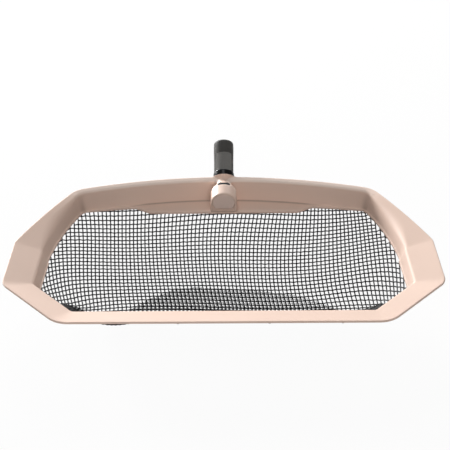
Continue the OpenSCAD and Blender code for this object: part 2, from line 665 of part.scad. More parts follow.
module key_ring() {
    color(steel) in_place() translate([0, key_mid_y, ring_top - ring_t]) difference() {
        cylinder(r = key_barrel_r + 1, h = ring_t);
        translate([0, 0, -1]) cylinder(r = key_stem_r - 0.5 + 0.05, h = ring_t + 2);
    }
}
module key_spring() {
    coil_r = key_stem_r + 1.6;
    low = shelf_z + shelf_t + key_wire_r + 0.05;
    high = key_seat_z - key_wire_r - 0.05;
    steps = 8 * key_turns;
    rings = [for (i = [0 : steps]) let (a = 360 * i / 8, z = low + (high - low) * i / steps)
        [for (k = [0 : 5]) let (b = 60 * k)
            [(coil_r + key_wire_r * cos(b)) * cos(a), (coil_r + key_wire_r * cos(b)) * sin(a),
             z + key_wire_r * sin(b)]]];
    color(steel) in_place() translate([0, key_mid_y, 0]) capped_solid(rings);
}

scoop_frame();
hub_housing();
hub_cap();
hub_bottom_cover();
hub_screws();
net();
net_hem();
net_retainer();
retainer_screws();
insert_core();
insert_collar();
grip_pad();
insert_end_plug();
lock_button();
lock_clip();
release_key();
key_spring();
key_ring();
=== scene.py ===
# %% [markdown]
# # A pool leaf skimmer, dressed in Blender
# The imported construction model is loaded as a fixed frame. It says where each piece is and what moves. This script
# gives the pieces their finished surfaces and materials, and replaces the plain solids whose real shape is finer:
# the smooth moulding, the hub that flows into its rim, the turned insert and the knotted net.

# %% Load the frame
import math
import bmesh
import bpy
import numpy as np
from mathutils import Matrix, Vector
from mathutils.bvhtree import BVHTree


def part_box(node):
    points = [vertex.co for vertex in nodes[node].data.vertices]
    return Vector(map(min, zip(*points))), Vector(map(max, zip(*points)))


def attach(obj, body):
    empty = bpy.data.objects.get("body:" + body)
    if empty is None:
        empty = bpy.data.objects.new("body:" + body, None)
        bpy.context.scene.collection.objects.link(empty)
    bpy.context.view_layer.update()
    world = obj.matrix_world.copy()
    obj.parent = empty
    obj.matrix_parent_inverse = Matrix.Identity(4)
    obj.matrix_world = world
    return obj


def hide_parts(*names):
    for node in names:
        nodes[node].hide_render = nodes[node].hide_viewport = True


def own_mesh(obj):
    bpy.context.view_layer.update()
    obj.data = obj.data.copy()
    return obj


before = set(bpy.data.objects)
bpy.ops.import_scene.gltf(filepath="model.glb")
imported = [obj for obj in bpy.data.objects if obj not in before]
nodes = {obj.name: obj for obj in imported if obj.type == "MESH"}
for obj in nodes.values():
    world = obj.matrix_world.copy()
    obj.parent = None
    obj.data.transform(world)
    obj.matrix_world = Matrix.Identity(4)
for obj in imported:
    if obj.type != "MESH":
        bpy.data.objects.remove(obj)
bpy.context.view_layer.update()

# %% [markdown]
# ## Lengths and places
# The scoop's drawing has its own middle: y = 0 half way between the front and the rear edge, and z = 1 on the ledge,
# in millimetres. The model's origin lies on the pole insert's axis, so one function carries a point of the drawing
# into the model, in metres.

# %% Sizes of the scoop
SCOOP_W, FRONT_W, SIDE_REAR_W, REAR_W = 557.0, 410.0, 540.0, 398.0
WIDEST_Y, SIDE_REAR_Y, REAR_CORNER_Y, REAR_BOW = 85.0, 180.0, 306.5, 31.0
RIM_H, CORNER_R = 29.0, 34.0
FLANGE_W, LIP_W, BAND_LEAN, WALL, LAND_W = 37.0, 8.5, 6.5, 3.0, 12.0
FALL = math.tan(math.radians(14))
LEDGE_W, LEDGE_END_W, LEDGE_Y, STRIP_W, REAR_LEAN, FRONT_LIFT = 192.0, 28.0, 289.0, 4.7, 4.0, 8.0
FOOT_IN = 1.2
FRONT_Y = -(REAR_CORNER_Y + REAR_BOW) / 2
LEDGE_Z = 1.0
FLOOR_Z = LEDGE_Z - WALL
RIM_Z = FLOOR_Z + RIM_H
LEDGE_FRONT = FRONT_Y + LEDGE_Y
LEDGE_HALF = LEDGE_W / 2 + LEDGE_END_W
SIDE_END = np.array([SIDE_REAR_W / 2, FRONT_Y + SIDE_REAR_Y])
REAR_END = np.array([REAR_W / 2, FRONT_Y + REAR_CORNER_Y])
POLE_TILT = math.radians(33)
POLE_DIR = np.array([0, math.cos(POLE_TILT), math.sin(POLE_TILT)])
GUIDE_S = 33.0


def rear_edge_y(x):
    return FRONT_Y + REAR_CORNER_Y + REAR_BOW * (1 - (2 * x / REAR_W) ** 2)


SHOULDER = np.array([0, rear_edge_y(0) + 5.25, RIM_Z - 3.7])
ORIGIN = SHOULDER + GUIDE_S * POLE_DIR


def placed(points):
    """Points of the scoop's drawing, in millimetres, as points of the model in metres."""
    return (np.asarray(points, float) - ORIGIN) / 1000


def put(name, data):
    """A new object in the scene, at the origin."""
    thing = bpy.data.objects.new(name, data)
    bpy.context.scene.collection.objects.link(thing)
    return thing


def unit(v):
    return v / np.linalg.norm(v, axis=-1, keepdims=True)


def smooth(t):
    """A soft step from 0 to 1."""
    u = np.clip(t, 0, 1)
    return u * u * (3 - 2 * u)


print("origin in the drawing", ORIGIN.round(3))

# %% [markdown]
# ## Camera
# The scoop is seen from the front and a third of the way up, from far off and with a long lens, so that its rear
# edge looks hardly narrower than its front. The camera's three axes are worked out from its height, turn and roll.

# %% Camera
CAM_UP, CAM_TURN, CAM_ROLL = math.radians(33.96), math.radians(-0.273), math.radians(0.47)
CAM_AWAY, CAM_FOCUS, IMAGE = 2600.0, 2012.0, 450.0
CAM_X, CAM_Y = 223.85, 262.52

side = np.array([math.cos(CAM_TURN), -math.sin(CAM_TURN), 0])
deep = np.array([math.sin(CAM_TURN), math.cos(CAM_TURN), 0])
lift = np.array([0, 0, 1.0])
flat_up = math.sin(CAM_UP) * deep + math.cos(CAM_UP) * lift
look = math.cos(CAM_UP) * deep - math.sin(CAM_UP) * lift
cam_right = math.cos(CAM_ROLL) * side - math.sin(CAM_ROLL) * flat_up
cam_top = math.sin(CAM_ROLL) * side + math.cos(CAM_ROLL) * flat_up

camera_data = bpy.data.cameras.new("camera")
camera_data.sensor_width = 36
camera_data.lens = CAM_FOCUS / IMAGE * 36
camera_data.shift_x = (IMAGE / 2 - CAM_X) / IMAGE
camera_data.shift_y = (CAM_Y - IMAGE / 2) / IMAGE
camera_data.clip_start, camera_data.clip_end = 0.05, 20
camera = put("camera", camera_data)
turn = Matrix([[cam_right[i], cam_top[i], -look[i]] for i in range(3)])
camera.matrix_world = Matrix.Translation(Vector(placed(-CAM_AWAY * look))) @ turn.to_4x4()
bpy.context.scene.camera = camera
bpy.context.scene.view_settings.view_transform = "Standard"


def seen(points):
    """Where the camera sees points of the drawing, in pixels of a picture that is IMAGE pixels wide."""
    p = np.asarray(points, float)
    far = CAM_AWAY + p @ look
    return CAM_X + CAM_FOCUS * (p @ cam_right) / far, CAM_Y - CAM_FOCUS * (p @ cam_top) / far


origin_seen = [round(float(v), 1) for v in seen(ORIGIN)]
print("lens", round(camera_data.lens, 1), "mm, the model's origin is seen at", origin_seen)

# %% [markdown]
# ## Shader maths
# A material is a web of nodes. To keep the web readable, a small class wraps a socket so that Python's own signs
# add the Math nodes, and one method adds any other node from its type, its settings and its inputs.


# %% A wrapped socket
class Wave:
    """A number that changes over a surface: wraps the socket that gives it."""

    def __init__(self, shop, socket):
        self.shop, self.socket = shop, socket

    def math(self, kind, a, b):
        return self.shop.add("ShaderNodeMath", {"operation": kind}, {0: a, 1: b})

    def __add__(self, other):
        return self.math("ADD", self, other)

    def __radd__(self, other):
        return self.math("ADD", other, self)

    def __sub__(self, other):
        return self.math("SUBTRACT", self, other)

    def __mul__(self, other):
        return self.math("MULTIPLY", self, other)

# %% [markdown]
# The workshop holds one material's node tree. Its methods add the few kinds of node that all the finishes share.


# %% A material's workshop
class Workshop:
    """Builds the nodes of one material, or of the world."""

    def __init__(self, name, block=None):
        self.material = block or bpy.data.materials.new(name)
        self.material.use_nodes = True
        self.tree = self.material.node_tree
        self.tree.nodes.clear()

    def add(self, kind, settings=None, inputs=None, output=0):
        node = self.tree.nodes.new(kind)
        for name, value in (settings or {}).items():
            if name == "stops":
                ramp = node.color_ramp.elements
                while len(ramp) < len(value):
                    ramp.new(0.5)
                for element, (at, colour) in zip(ramp, value):
                    element.position, element.color = at, colour
            else:
                setattr(node, name, value)
        for name, value in (inputs or {}).items():
            socket = node.inputs[name]
            if isinstance(value, Wave):
                self.tree.links.new(value.socket, socket)
            else:
                socket.default_value = value
        return Wave(self, node.outputs[output])

    def mix(self, share, a, b):
        """One colour turning into another."""
        return self.add("ShaderNodeMix", {"data_type": "RGBA"}, {0: share, 6: a, 7: b}, 2)

    def place(self):
        """Each point's place on its own object."""
        return self.add("ShaderNodeTexCoord", output=3)

    def noise(self, scale, detail=3.0, rough=0.5):
        return self.add("ShaderNodeTexNoise", {},
                        {"Vector": self.place(), "Scale": scale, "Detail": detail, "Roughness": rough})

    def stretched_noise(self, scales, detail):
        """Noise with a scale of its own along each axis, for streaks and brushed lines."""
        spot = self.add("ShaderNodeMapping", {}, {"Vector": self.place(), "Scale": scales})
        return self.add("ShaderNodeTexNoise", {}, {"Vector": spot, "Scale": 1.0, "Detail": detail})

    def ramp(self, share, stops):
        return self.add("ShaderNodeValToRGB", {"stops": [(at, (v, v, v, 1)) for at, v in stops]}, {0: share})

    def clip(self, share):
        return self.add("ShaderNodeClamp", {}, {"Value": share})

    def edges(self, low, high):
        """1 where a surface bulges and 0 where it is flat or hollow: the places that hands and boxes rub."""
        bulge = self.add("ShaderNodeNewGeometry", output=7)
        return self.ramp(bulge, [(low, 0), (high, 1)])

    def bump(self, height, distance):
        return self.add("ShaderNodeBump", {}, {"Height": height, "Distance": distance, "Strength": 1.0})

    def finish(self, **sockets):
        shader = self.add("ShaderNodeBsdfPrincipled", {},
                          {name.replace("_", " "): value for name, value in sockets.items()})
        return self.close(shader)

    def close(self, shader, kind="ShaderNodeOutputMaterial"):
        out = self.tree.nodes.new(kind)
        self.tree.links.new(shader.socket, out.inputs[0])
        return self.material

# %% [markdown]
# Shaders reckon with linear light, while colours are usually written as a screen shows them.


# %% Colours
def colour(red, green, blue):
    """A colour as it is written on a screen, from 0 to 255, as the linear values that shaders use."""
    def linear(value):
        share = value / 255
        return share / 12.92 if share <= 0.04045 else ((share + 0.055) / 1.055) ** 2.4
    return (linear(red), linear(green), linear(blue), 1.0)


print("shader helpers ready")

# %% [markdown]
# ## Finishes
# The scoop is moulded in one satin rose plastic. Its fine spark-eroded grain breaks up the reflections, and its
# colour drifts a little as the melt flowed. Rubbed edges are slightly glossier and paler. A number that each piece
# carries on its points, called tone, paints shade into the hollows and a pale highlight onto the lip.


# %% Rose plastic
def rose_plastic(name, grain=0.00005, low=(230, 201, 184), high=(241, 212, 195), gloss=0.5):
    shop = Workshop(name)
    drift = shop.noise(9.0, 2.0)
    fine = shop.noise(1500.0, 2.0, 0.6)
    cloud = shop.noise(160.0, 3.0)
    worn = shop.edges(0.5, 0.6)
    tone = shop.mix(drift, colour(*low), colour(*high))
    tone = shop.mix(worn * 0.35, tone, colour(247, 226, 214))
    # Painted light: the tone attribute paints shade where it is below 0 and a highlight where it is above 0.
    painted_light_mark = shop.add("ShaderNodeAttribute", {"attribute_name": "tone"}, output=2)
    # Painted shade colour.
    tone = shop.mix(shop.clip(painted_light_mark * -0.85), tone, colour(104, 78, 66))
    # Painted highlight colour.
    tone = shop.mix(shop.clip(painted_light_mark * 0.95), tone, colour(255, 234, 221))
    rough = gloss + cloud * 0.1 + fine * 0.06 - worn * 0.06
    height = fine * 0.7 + cloud * 0.3
    return shop.finish(Base_Color=tone, Roughness=rough, Normal=shop.bump(height, grain), IOR=1.4)


rose = rose_plastic("rose_plastic")
rose_hub = rose_plastic("rose_plastic_hub", grain=0.00003, gloss=0.38)
# A lit copy of the rose plastic: the cap's paler colours paint in light that its front face lacks.
rose_cap_painted_light = rose_plastic("rose_plastic_cap_painted_light", grain=0.00003, low=(241, 216, 203), high=(249, 226, 214), gloss=0.3)
print("made", rose.name, rose_hub.name, rose_cap_painted_light.name)

# %% [markdown]
# Black parts come in three finishes: the insert's collar is glossy with faint handling marks, its body is a soft dark
# grey that paints in its sheen, and the key, the bottom cover and the ring under the frame are satin mouldings with
# a coarser grain.


# %% Black plastics
def black_plastic(name, base, gloss, grain, scratch_share):
    shop = Workshop(name)
    cloud = shop.noise(220.0, 4.0)
    fine = shop.noise(2600.0, 2.0)
    streak = shop.stretched_noise((2400.0, 160.0, 160.0), 2.0)
    marks = shop.ramp(streak, [(0.62, 0), (0.7, 1)])
    worn = shop.edges(0.5, 0.58)
    tone = shop.mix(cloud, colour(*base), colour(*[v + 10 for v in base]))
    tone = shop.mix(worn * 0.3, tone, colour(*[v + 42 for v in base]))
    rough = gloss + cloud * 0.12 + marks * scratch_share
    bump = shop.bump(fine * 0.6 + streak * 0.4, grain)
    return shop.finish(Base_Color=tone, Roughness=rough, Normal=bump, IOR=1.22)


gloss_black = black_plastic("gloss_black", (22, 22, 23), 0.16, 0.00002, 0.14)
# Painted sheen: this base is lighter than the other blacks and stands for the insert's soft sheen.
sheen_grey_black = black_plastic("sheen_grey_black", (74, 73, 71), 0.45, 0.00004, 0.12)
satin_black = black_plastic("satin_black", (24, 24, 25), 0.42, 0.00006, 0.08)
print("made", gloss_black.name, sheen_grey_black.name, satin_black.name)

# %% [markdown]
# The grip pad is a soft grey rubber: matte, dusty in its grooves and a little darker where it is rubbed smooth.

# %% Grey rubber
shop = Workshop("grey_rubber")
dust = shop.noise(500.0, 4.0, 0.6)
grit = shop.noise(3800.0, 2.0)
worn = shop.edges(0.5, 0.57)
tone = shop.mix(dust, colour(118, 117, 115), colour(140, 139, 136))
tone = shop.mix(worn * 0.4, tone, colour(154, 153, 149))
grey_rubber = shop.finish(Base_Color=tone, Roughness=0.72 + dust * 0.14, Normal=shop.bump(grit, 0.00004))
print("made", grey_rubber.name)

# %% [markdown]
# The net is knotted from a thin polyester yarn. A Wave texture along the thread would need its direction; the twist
# is far finer than a pixel here, so a fine noise gives the yarn's broken sheen instead. The binding tape is woven: a
# slanted wave makes its ribs.

# %% Yarn and tape
shop = Workshop("net_yarn")
fibre = shop.noise(2200.0, 3.0, 0.65)
fade = shop.noise(14.0, 2.0)
tone = shop.mix(fade, colour(20, 21, 24), colour(31, 32, 36))
tone = shop.mix(fibre * 0.4, tone, colour(44, 45, 50))
net_yarn = shop.finish(Base_Color=tone, Roughness=0.55 + fibre * 0.25, Normal=shop.bump(fibre, 0.0001))

shop = Workshop("binding_tape")
rib = shop.add("ShaderNodeTexWave", {"wave_type": "BANDS", "bands_direction": "DIAGONAL"},
               {"Vector": shop.place(), "Scale": 520.0, "Distortion": 1.5}, 1)
fibre = shop.noise(1800.0, 3.0, 0.65)
tone = shop.mix(rib * 0.6, colour(14, 14, 15), colour(34, 34, 36))
binding = shop.finish(Base_Color=tone, Roughness=0.72 + fibre * 0.18,
                      Normal=shop.bump(rib * 0.7 + fibre * 0.3, 0.00015))
print("made", net_yarn.name, binding.name)

# %% [markdown]
# The screws, the lock button, its leaf spring, the coil spring and the ring are stainless steel, turned or drawn:
# fine lines across the metal spread its reflections one way.

# %% Stainless steel
shop = Workshop("stainless_steel")
brushed = shop.stretched_noise((300.0, 300.0, 5200.0), 3.0)
stain = shop.noise(240.0, 3.0)
tone = shop.mix(stain, colour(176, 178, 182), colour(205, 206, 208))
steel = shop.finish(Base_Color=tone, Metallic=1.0, Roughness=0.2 + brushed * 0.2 + stain * 0.08,
                    Normal=shop.bump(brushed, 0.00001))
print("materials", [m.name for m in bpy.data.materials])

# %% [markdown]
# ## Stage and light
# The scoop hangs over a white floor. A plain white world fills the shadows, and one large soft lamp, low on the left
# behind the scoop, models the form: the front flange, which leans back towards it, is the palest, and the rear wall
# lies in its own shade. Two small lamps behind round the flanges off, one above draws the lip and the ledge, and a
# weak one in front keeps the shade clear. The floor shows the camera its full white and keeps a faint part of the
# object's shadow.

# %% Lamp, world and floor
bpy.context.scene.world = bpy.data.worlds.new("world")
shop = Workshop("world", bpy.context.scene.world)
camera_sees = shop.add("ShaderNodeLightPath")
fill = shop.add("ShaderNodeBackground", {}, {"Color": (1, 1, 1, 1), "Strength": 0.16})
white = shop.add("ShaderNodeBackground", {}, {"Color": (1, 1, 1, 1), "Strength": 1.0})
shop.close(shop.add("ShaderNodeMixShader", {}, {0: camera_sees, 1: fill, 2: white}), "ShaderNodeOutputWorld")

# Each lamp's name, the way to it from the scoop's middle, and its power in watts.
LAMP_AWAY, LAMP_SIZE = 2.6, 0.9
LAMPS = (("key_lamp", (-0.95, 1.28, 0.3), 108), ("left_back_lamp", (-0.2, 1.2, 0.6), 17),
         ("right_back_lamp", (0.4, 1.2, 0.5), 14), ("front_lamp", (0.1, -1.0, 0.5), 14),
         ("top_lamp", (-0.1, 0.35, 1.5), 10))
middle = placed((0, 0, 0))
for name, way, power in LAMPS:
    data = bpy.data.lights.new(name, "AREA")
    data.shape, data.size, data.energy = "DISK", LAMP_SIZE, power
    light = put(name, data)
    light.location = middle + LAMP_AWAY * unit(np.array(way))
    light.rotation_mode = "QUATERNION"
    light.rotation_quaternion = (Vector(middle) - light.location).to_track_quat("-Z", "Y")

FLOOR_DEPTH, FLOOR_REACH = -112.0, 4.0
floor_z = placed((0, 0, FLOOR_DEPTH))[2]
floor_mesh = bpy.data.meshes.new("floor")
floor_mesh.from_pydata([(FLOOR_REACH * a, FLOOR_REACH * b, floor_z) for a, b in ((-1, -1), (1, -1), (1, 1), (-1, 1))],
                       [], [(0, 1, 2, 3)])
floor = put("floor", floor_mesh)
shop = Workshop("white_paper")
camera_sees = shop.add("ShaderNodeLightPath")
plain = shop.add("ShaderNodeBsdfDiffuse", {}, {"Color": (0.8, 0.8, 0.8, 1)})
glow = shop.add("ShaderNodeEmission", {}, {"Color": (1, 1, 1, 1), "Strength": 1.0})
paper = shop.add("ShaderNodeMixShader", {}, {0: camera_sees * 0.95, 1: plain, 2: glow})
floor_mesh.materials.append(shop.close(paper))
print("lamp, world and floor ready")

# %% [markdown]
# ## Making pieces
# Every piece is a mesh in metres whose object stays at the origin. One function builds it from points of the
# drawing, turns its faces outwards and smooths it, keeping the edges that are sharper than an angle.


# %% Piece helpers
def mesh_object(name, points, faces, material, sharp=0):
    mesh = bpy.data.meshes.new(name)
    mesh.from_pydata([tuple(p) for p in placed(points)], [], [tuple(f) for f in faces])
    with_bmesh(mesh, lambda form: bmesh.ops.remove_doubles(form, verts=form.verts, dist=1e-7), faces_out)
    return shaded(mesh, name, material, sharp)


def with_bmesh(mesh, *steps, source=None):
    """Runs steps on a mesh, or on a copy of another one, in the form that lets points and faces be edited."""
    form = bmesh.new()
    form.from_mesh(source or mesh)
    for step in steps:
        step(form)
    form.to_mesh(mesh)
    form.free()


def faces_out(form):
    bmesh.ops.recalc_face_normals(form, faces=form.faces)


def smooth_but(mesh, sharp):
    """Smooths a mesh but for the edges that are sharper than an angle."""
    mesh.shade_smooth()
    if sharp:
        mesh.set_sharp_from_angle(angle=math.radians(sharp))


def shaded(mesh, name, material, sharp):
    smooth_but(mesh, sharp)
    mesh.materials.clear()
    mesh.materials.append(material)
    return put(name, mesh)

# %% [markdown]
# A finished piece is told which body it rides on and which CAD nodes it stands for; those nodes are hidden.


# %% Settled pieces
def settle(piece, slot, *replaced, body="skimmer"):
    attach(piece, body)
    if replaced:
        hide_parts(*replaced)
    print(piece.name, "has", len(piece.data.polygons), "faces and rides on", body)
    return piece


def dressed(name, shape, material, sharp, slot, *replaced, body="skimmer"):
    """A piece that is drawn and settled in one go."""
    return settle(mesh_object(name, *shape, material, sharp), slot, *replaced, body=body)


def baked(piece):
    """Turns a piece and its modifiers into a plain mesh."""
    bpy.context.view_layer.update()
    graph = bpy.context.evaluated_depsgraph_get()
    mesh = bpy.data.meshes.new_from_object(piece.evaluated_get(graph))
    piece.modifiers.clear()
    piece.data = mesh
    return piece

# %% [markdown]
# Solid shapes are kept as a list of points and a list of faces. Most come from rings of points that are joined by
# quads: a lathe makes its rings from a profile, and a prism takes one outline twice.


# %% Shapes from rings
def loft(rings, closed):
    """Quads between rings of equal length; the last ring joins the first, or both ends are capped."""
    count, total = len(rings[0]), len(rings)
    faces = []
    for j in range(total if closed else total - 1):
        a, b = j * count, ((j + 1) % total) * count
        faces += [(a + k, a + (k + 1) % count, b + (k + 1) % count, b + k) for k in range(count)]
    if not closed:
        faces += [tuple(range(count)), tuple(range((total - 1) * count, total * count))]
    return np.concatenate(rings), faces


def join_shapes(*shapes):
    """Puts several lists of points and faces into one."""
    points, faces, shift = [], [], 0
    for p, f in shapes:
        points.append(np.asarray(p, float))
        faces += [tuple(i + shift for i in face) for face in f]
        shift += len(p)
    return np.concatenate(points), faces


def lathe(profile, turns, closed=False):
    """Turns a profile of (radius, height) round the z axis; a radius of 0 closes an end of it."""
    angles = np.arange(turns) * 2 * math.pi / turns
    rings = [np.column_stack([max(r, 1e-4) * np.cos(angles), max(r, 1e-4) * np.sin(angles), np.full(turns, z)])
             for r, z in profile]
    return loft(rings, closed)


def level(outline, z):
    """A flat outline at a height."""
    return np.column_stack([outline, np.full(len(outline), z)])


def prism(outline, low, high):
    return loft([level(outline, z) for z in (low, high)], False)


def rod(radius, low, high, turns):
    return lathe([(0, low), (radius, low), (radius, high), (0, high)], turns)


def dome(radius, top, round_r):
    """The rounded top edge of a turned profile."""
    return [(radius - round_r + round_r * math.cos(a), top - round_r + round_r * math.sin(a))
            for a in np.linspace(0, math.pi / 2, 10)]


def moved(shape, dx, dy):
    return shape[0] + np.array([dx, dy, 0]), shape[1]

# %% [markdown]
# The insert is drawn upright and then laid along its slanted pole. The smallest pieces keep the form that the
# construction model gives them, with their edges broken by a Bevel modifier.


# %% Shapes along the pole and copies
def along_pole(shape):
    """A shape drawn with z along the pole's axis from the hub's shoulder; -y is the insert's upper side."""
    p = np.asarray(shape[0], float)
    back = np.array([0, math.sin(POLE_TILT), -math.cos(POLE_TILT)])
    return SHOULDER + p[:, :1] * np.array([1.0, 0, 0]) + p[:, 1:2] * back + p[:, 2:] * POLE_DIR, shape[1]


def in_drawing(mesh):
    """A mesh's points in the drawing's millimetres."""
    spots = np.empty(len(mesh.vertices) * 3)
    mesh.vertices.foreach_get("co", spots)
    return spots.reshape(-1, 3) * 1000 + ORIGIN


def merged(form):
    """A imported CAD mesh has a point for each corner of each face; this makes them one."""
    bmesh.ops.remove_doubles(form, verts=form.verts, dist=2e-6)


def flattened(form):
    bmesh.ops.dissolve_limit(form, angle_limit=math.radians(1.0), verts=form.verts, edges=form.edges)


def edged_copy(node, name, material, slot, bevel, sharp, body="skimmer"):
    """A merged copy of a CAD node, with its edges rounded, that stands for the node."""
    mesh = bpy.data.meshes.new(name)
    with_bmesh(mesh, merged, flattened, source=nodes[node].data)
    piece = shaded(mesh, name, material, sharp)
    edge = piece.modifiers.new("edges", "BEVEL")
    edge.width, edge.segments, edge.limit_method = bevel / 1000, 2, "ANGLE"
    edge.angle_limit = math.radians(sharp)
    edge.harden_normals = True
    baked(piece)
    return settle(piece, slot, node, body=body)

# %% [markdown]
# ## The scoop's outline
# The rim is one closed line of corners. Each corner has a radius, the width of the flange there, its share of the
# rear wall's extra lean and how softly the flange rolls over into the band. Every other line of the moulding is that
# line moved inwards and down, so that a list of distances and heights gives the whole shell.


# %% Outline
SIDE_CORNER_R, DIAGONAL_BOW, SOFTEST, CORNER_STEPS = 25.0, 2.8, 0.6, 12


def rise(y):
    """The floor and the net's seat lie higher towards the front edge."""
    return FRONT_LIFT * np.clip((SIDE_END[1] - y) / (SIDE_END[1] - FRONT_Y), 0, None)


def half_outline():
    """The right half's corners: place, radius, flange width, share of the extra lean, softness."""
    corners = [(spot, radius, FLANGE_W, 0, 0.0) for spot, radius in
               (((0, FRONT_Y), 0), ((FRONT_W / 2, FRONT_Y), CORNER_R),
                ((SCOOP_W / 2, FRONT_Y + WIDEST_Y), SIDE_CORNER_R), (tuple(SIDE_END), SIDE_CORNER_R))]
    diagonal = unit(REAR_END - SIDE_END)
    for t in np.linspace(0, 1, 13)[1:-1]:
        bow = DIAGONAL_BOW * 4 * t * (1 - t)
        spot = SIDE_END + t * (REAR_END - SIDE_END) + bow * np.array([diagonal[1], -diagonal[0]])
        width = LIP_W + (FLANGE_W - LIP_W) * (1 - t) ** 1.8 + bow
        soft = SOFTEST * smooth(t / 0.55) * (1 - smooth((t - 0.6) / 0.35))
        corners.append((tuple(spot), 0, width, 0, soft))
    corners.append((tuple(REAR_END), CORNER_R, LIP_W, 0, 0.0))
    rear_xs = [REAR_W / 2 + t * (LEDGE_HALF - REAR_W / 2) for t in (0.25, 0.45, 0.65, 0.85)]
    rear_xs += [LEDGE_W / 2 + t * LEDGE_END_W for t in np.linspace(1, 0, 11)[:-1]]
    rear_xs += [t * LEDGE_W / 2 for t in np.linspace(1, 0, 25)[:-1]]
    for x in rear_xs:
        corners.append(((x, rear_edge_y(x)), 0, LIP_W, min(1, (REAR_W / 2 - x) / (REAR_W / 2 - LEDGE_HALF)), 0.0))
    corners.append(((0, rear_edge_y(0)), 0, LIP_W, 1, 0.0))
    return corners

# %% [markdown]
# From the corners follow the ways in which each point of the outline moves: along the mitre of its two sides, or
# straight back where the ledge runs across.

# %% Ways in from the rim
half = half_outline()
rim = half + [((-p[0], p[1]), *rest) for p, *rest in half[-2:0:-1]]
rim_n = len(rim)
rim_at = np.array([c[0] for c in rim])
rim_r, rim_w, rim_s, rim_soft = (np.array([c[k] for c in rim], float) for k in (1, 2, 3, 4))
ahead = unit(np.roll(rim_at, -1, 0) - rim_at)
behind = np.roll(ahead, 1, 0)
left_of = np.stack([-ahead[:, 1], ahead[:, 0]], 1)
left_behind = np.roll(left_of, 1, 0)
mitres = (left_of + left_behind) / (1 + (left_of * left_behind).sum(1))[:, None]
corner_turn = np.degrees(np.arccos(np.clip((ahead * behind).sum(1), -1, 1)))

foot = rim_w + BAND_LEAN + REAR_LEAN * rim_s
plain_edge = rim_at + (foot + FOOT_IN + STRIP_W * rim_s)[:, None] * mitres
on_ledge = (rim_at[:, 1] > 0) & (np.abs(rim_at[:, 0]) < LEDGE_HALF - 0.01)
ledge_share = smooth((LEDGE_HALF - np.abs(rim_at[:, 0])) / LEDGE_END_W)
net_edges = plain_edge.copy()
net_edges[on_ledge, 0] = rim_at[on_ledge, 0]
net_edges[on_ledge, 1] += ((LEDGE_FRONT - plain_edge[:, 1]) * ledge_share)[on_ledge]
out_dir = np.where(on_ledge[:, None], np.array([0, 1.0]), -mitres)
print("outline", rim_n, "points, of which", int(on_ledge.sum()), "lie behind the ledge")

# %% [markdown]
# A ring is the outline at one distance inside the rim and at one height. Its corners are rounded by a quadratic curve.


# %% Rings
def round_ring(v, inset):
    """Rounds the corners of a ring that lies at a distance inside the rim."""
    points = []
    for i in range(rim_n):
        if rim_r[i] == 0:
            points.append(v[i])
            continue
        reach = max(rim_r[i] - inset[i], 7) * math.tan(math.radians(corner_turn[i] / 2))
        a = v[i] + reach * unit(v[i - 1] - v[i])
        b = v[i] + reach * unit(v[(i + 1) % rim_n] - v[i])
        for t in np.linspace(0, 1, CORNER_STEPS + 1):
            points.append((1 - t) ** 2 * a + 2 * t * (1 - t) * v[i] + t * t * b)
    return np.array(points)


def spread(values):
    return np.concatenate([[values[i]] * (1 if rim_r[i] == 0 else CORNER_STEPS + 1) for i in range(rim_n)])


def rim_ring(w_share, add, z_share, z, down=0):
    inset = w_share * rim_w + add + down * REAR_LEAN * rim_s
    flat = round_ring(rim_at + inset[:, None] * mitres, inset)
    heights = spread(z_share * rim_w + z) + down * rise(flat[:, 1])
    return np.column_stack([flat, heights])


def edge_ring(out, z):
    flat = round_ring(net_edges + out * out_dir, foot)
    return np.column_stack([flat, z + rise(flat[:, 1])])


print("points of a ring", len(edge_ring(0, 0)))

# %% [markdown]
# ## The scoop frame
# The moulding's section runs from the rounded outer edge over the sloping flange, rolls over into the steep band,
# meets the floor in a small fillet and ends in the lip that the net hangs from. The clamping bosses stand under the
# flange. Lofting the section round the outline gives clean long faces that take a smooth shade.

# %% Scoop frame
OUTER_EDGE = [(3.0, -3.4), (1.2, -3.2), (0.55, -3.05), (0.15, -2.65), (0.0, -2.1), (0.04, -1.5), (0.22, -0.95),
              (0.55, -0.58), (1.05, -0.42), (1.7, -0.46), (2.4, -2.4 * FALL)]
BEND_BACK, BEND_PAST = 2.8, 0.45
soft_reach = rim_soft * np.maximum(rim_w - 7.6, 0)


def bend_over(shares, thick=0.0):
    """The roll from the flange into the band, as distances inside the flange's inner edge and heights beside it. It
    is tight in front and wide along the rear diagonals; the underside follows it at the wall's thickness."""
    back, low = BEND_BACK + soft_reach, 3.3 + rim_soft * 11
    a = np.array([-back, back * FALL])
    b = np.array([BEND_PAST, -BEND_PAST * FALL])[:, None]
    c = np.array([BEND_PAST + 0.26 * low, -0.11 - low])
    rolls = []
    for t in shares:
        way = 2 * (1 - t) * (b - a) + 2 * t * (c - b)
        way = way / np.linalg.norm(way, axis=0)
        rolls.append((1 - t) ** 2 * a + 2 * t * (1 - t) * b + t * t * c + thick * np.array([way[1], -way[0]]))
    return rolls


def band_rings(*places):
    """Rings by their distance from the band's lower edge and their height above the ledge."""
    return [rim_ring(1, BAND_LEAN + add, 0, LEDGE_Z + z, 1) for add, z in places]


def between(first, last, shares):
    return [first + t * (last - first) for t in shares]


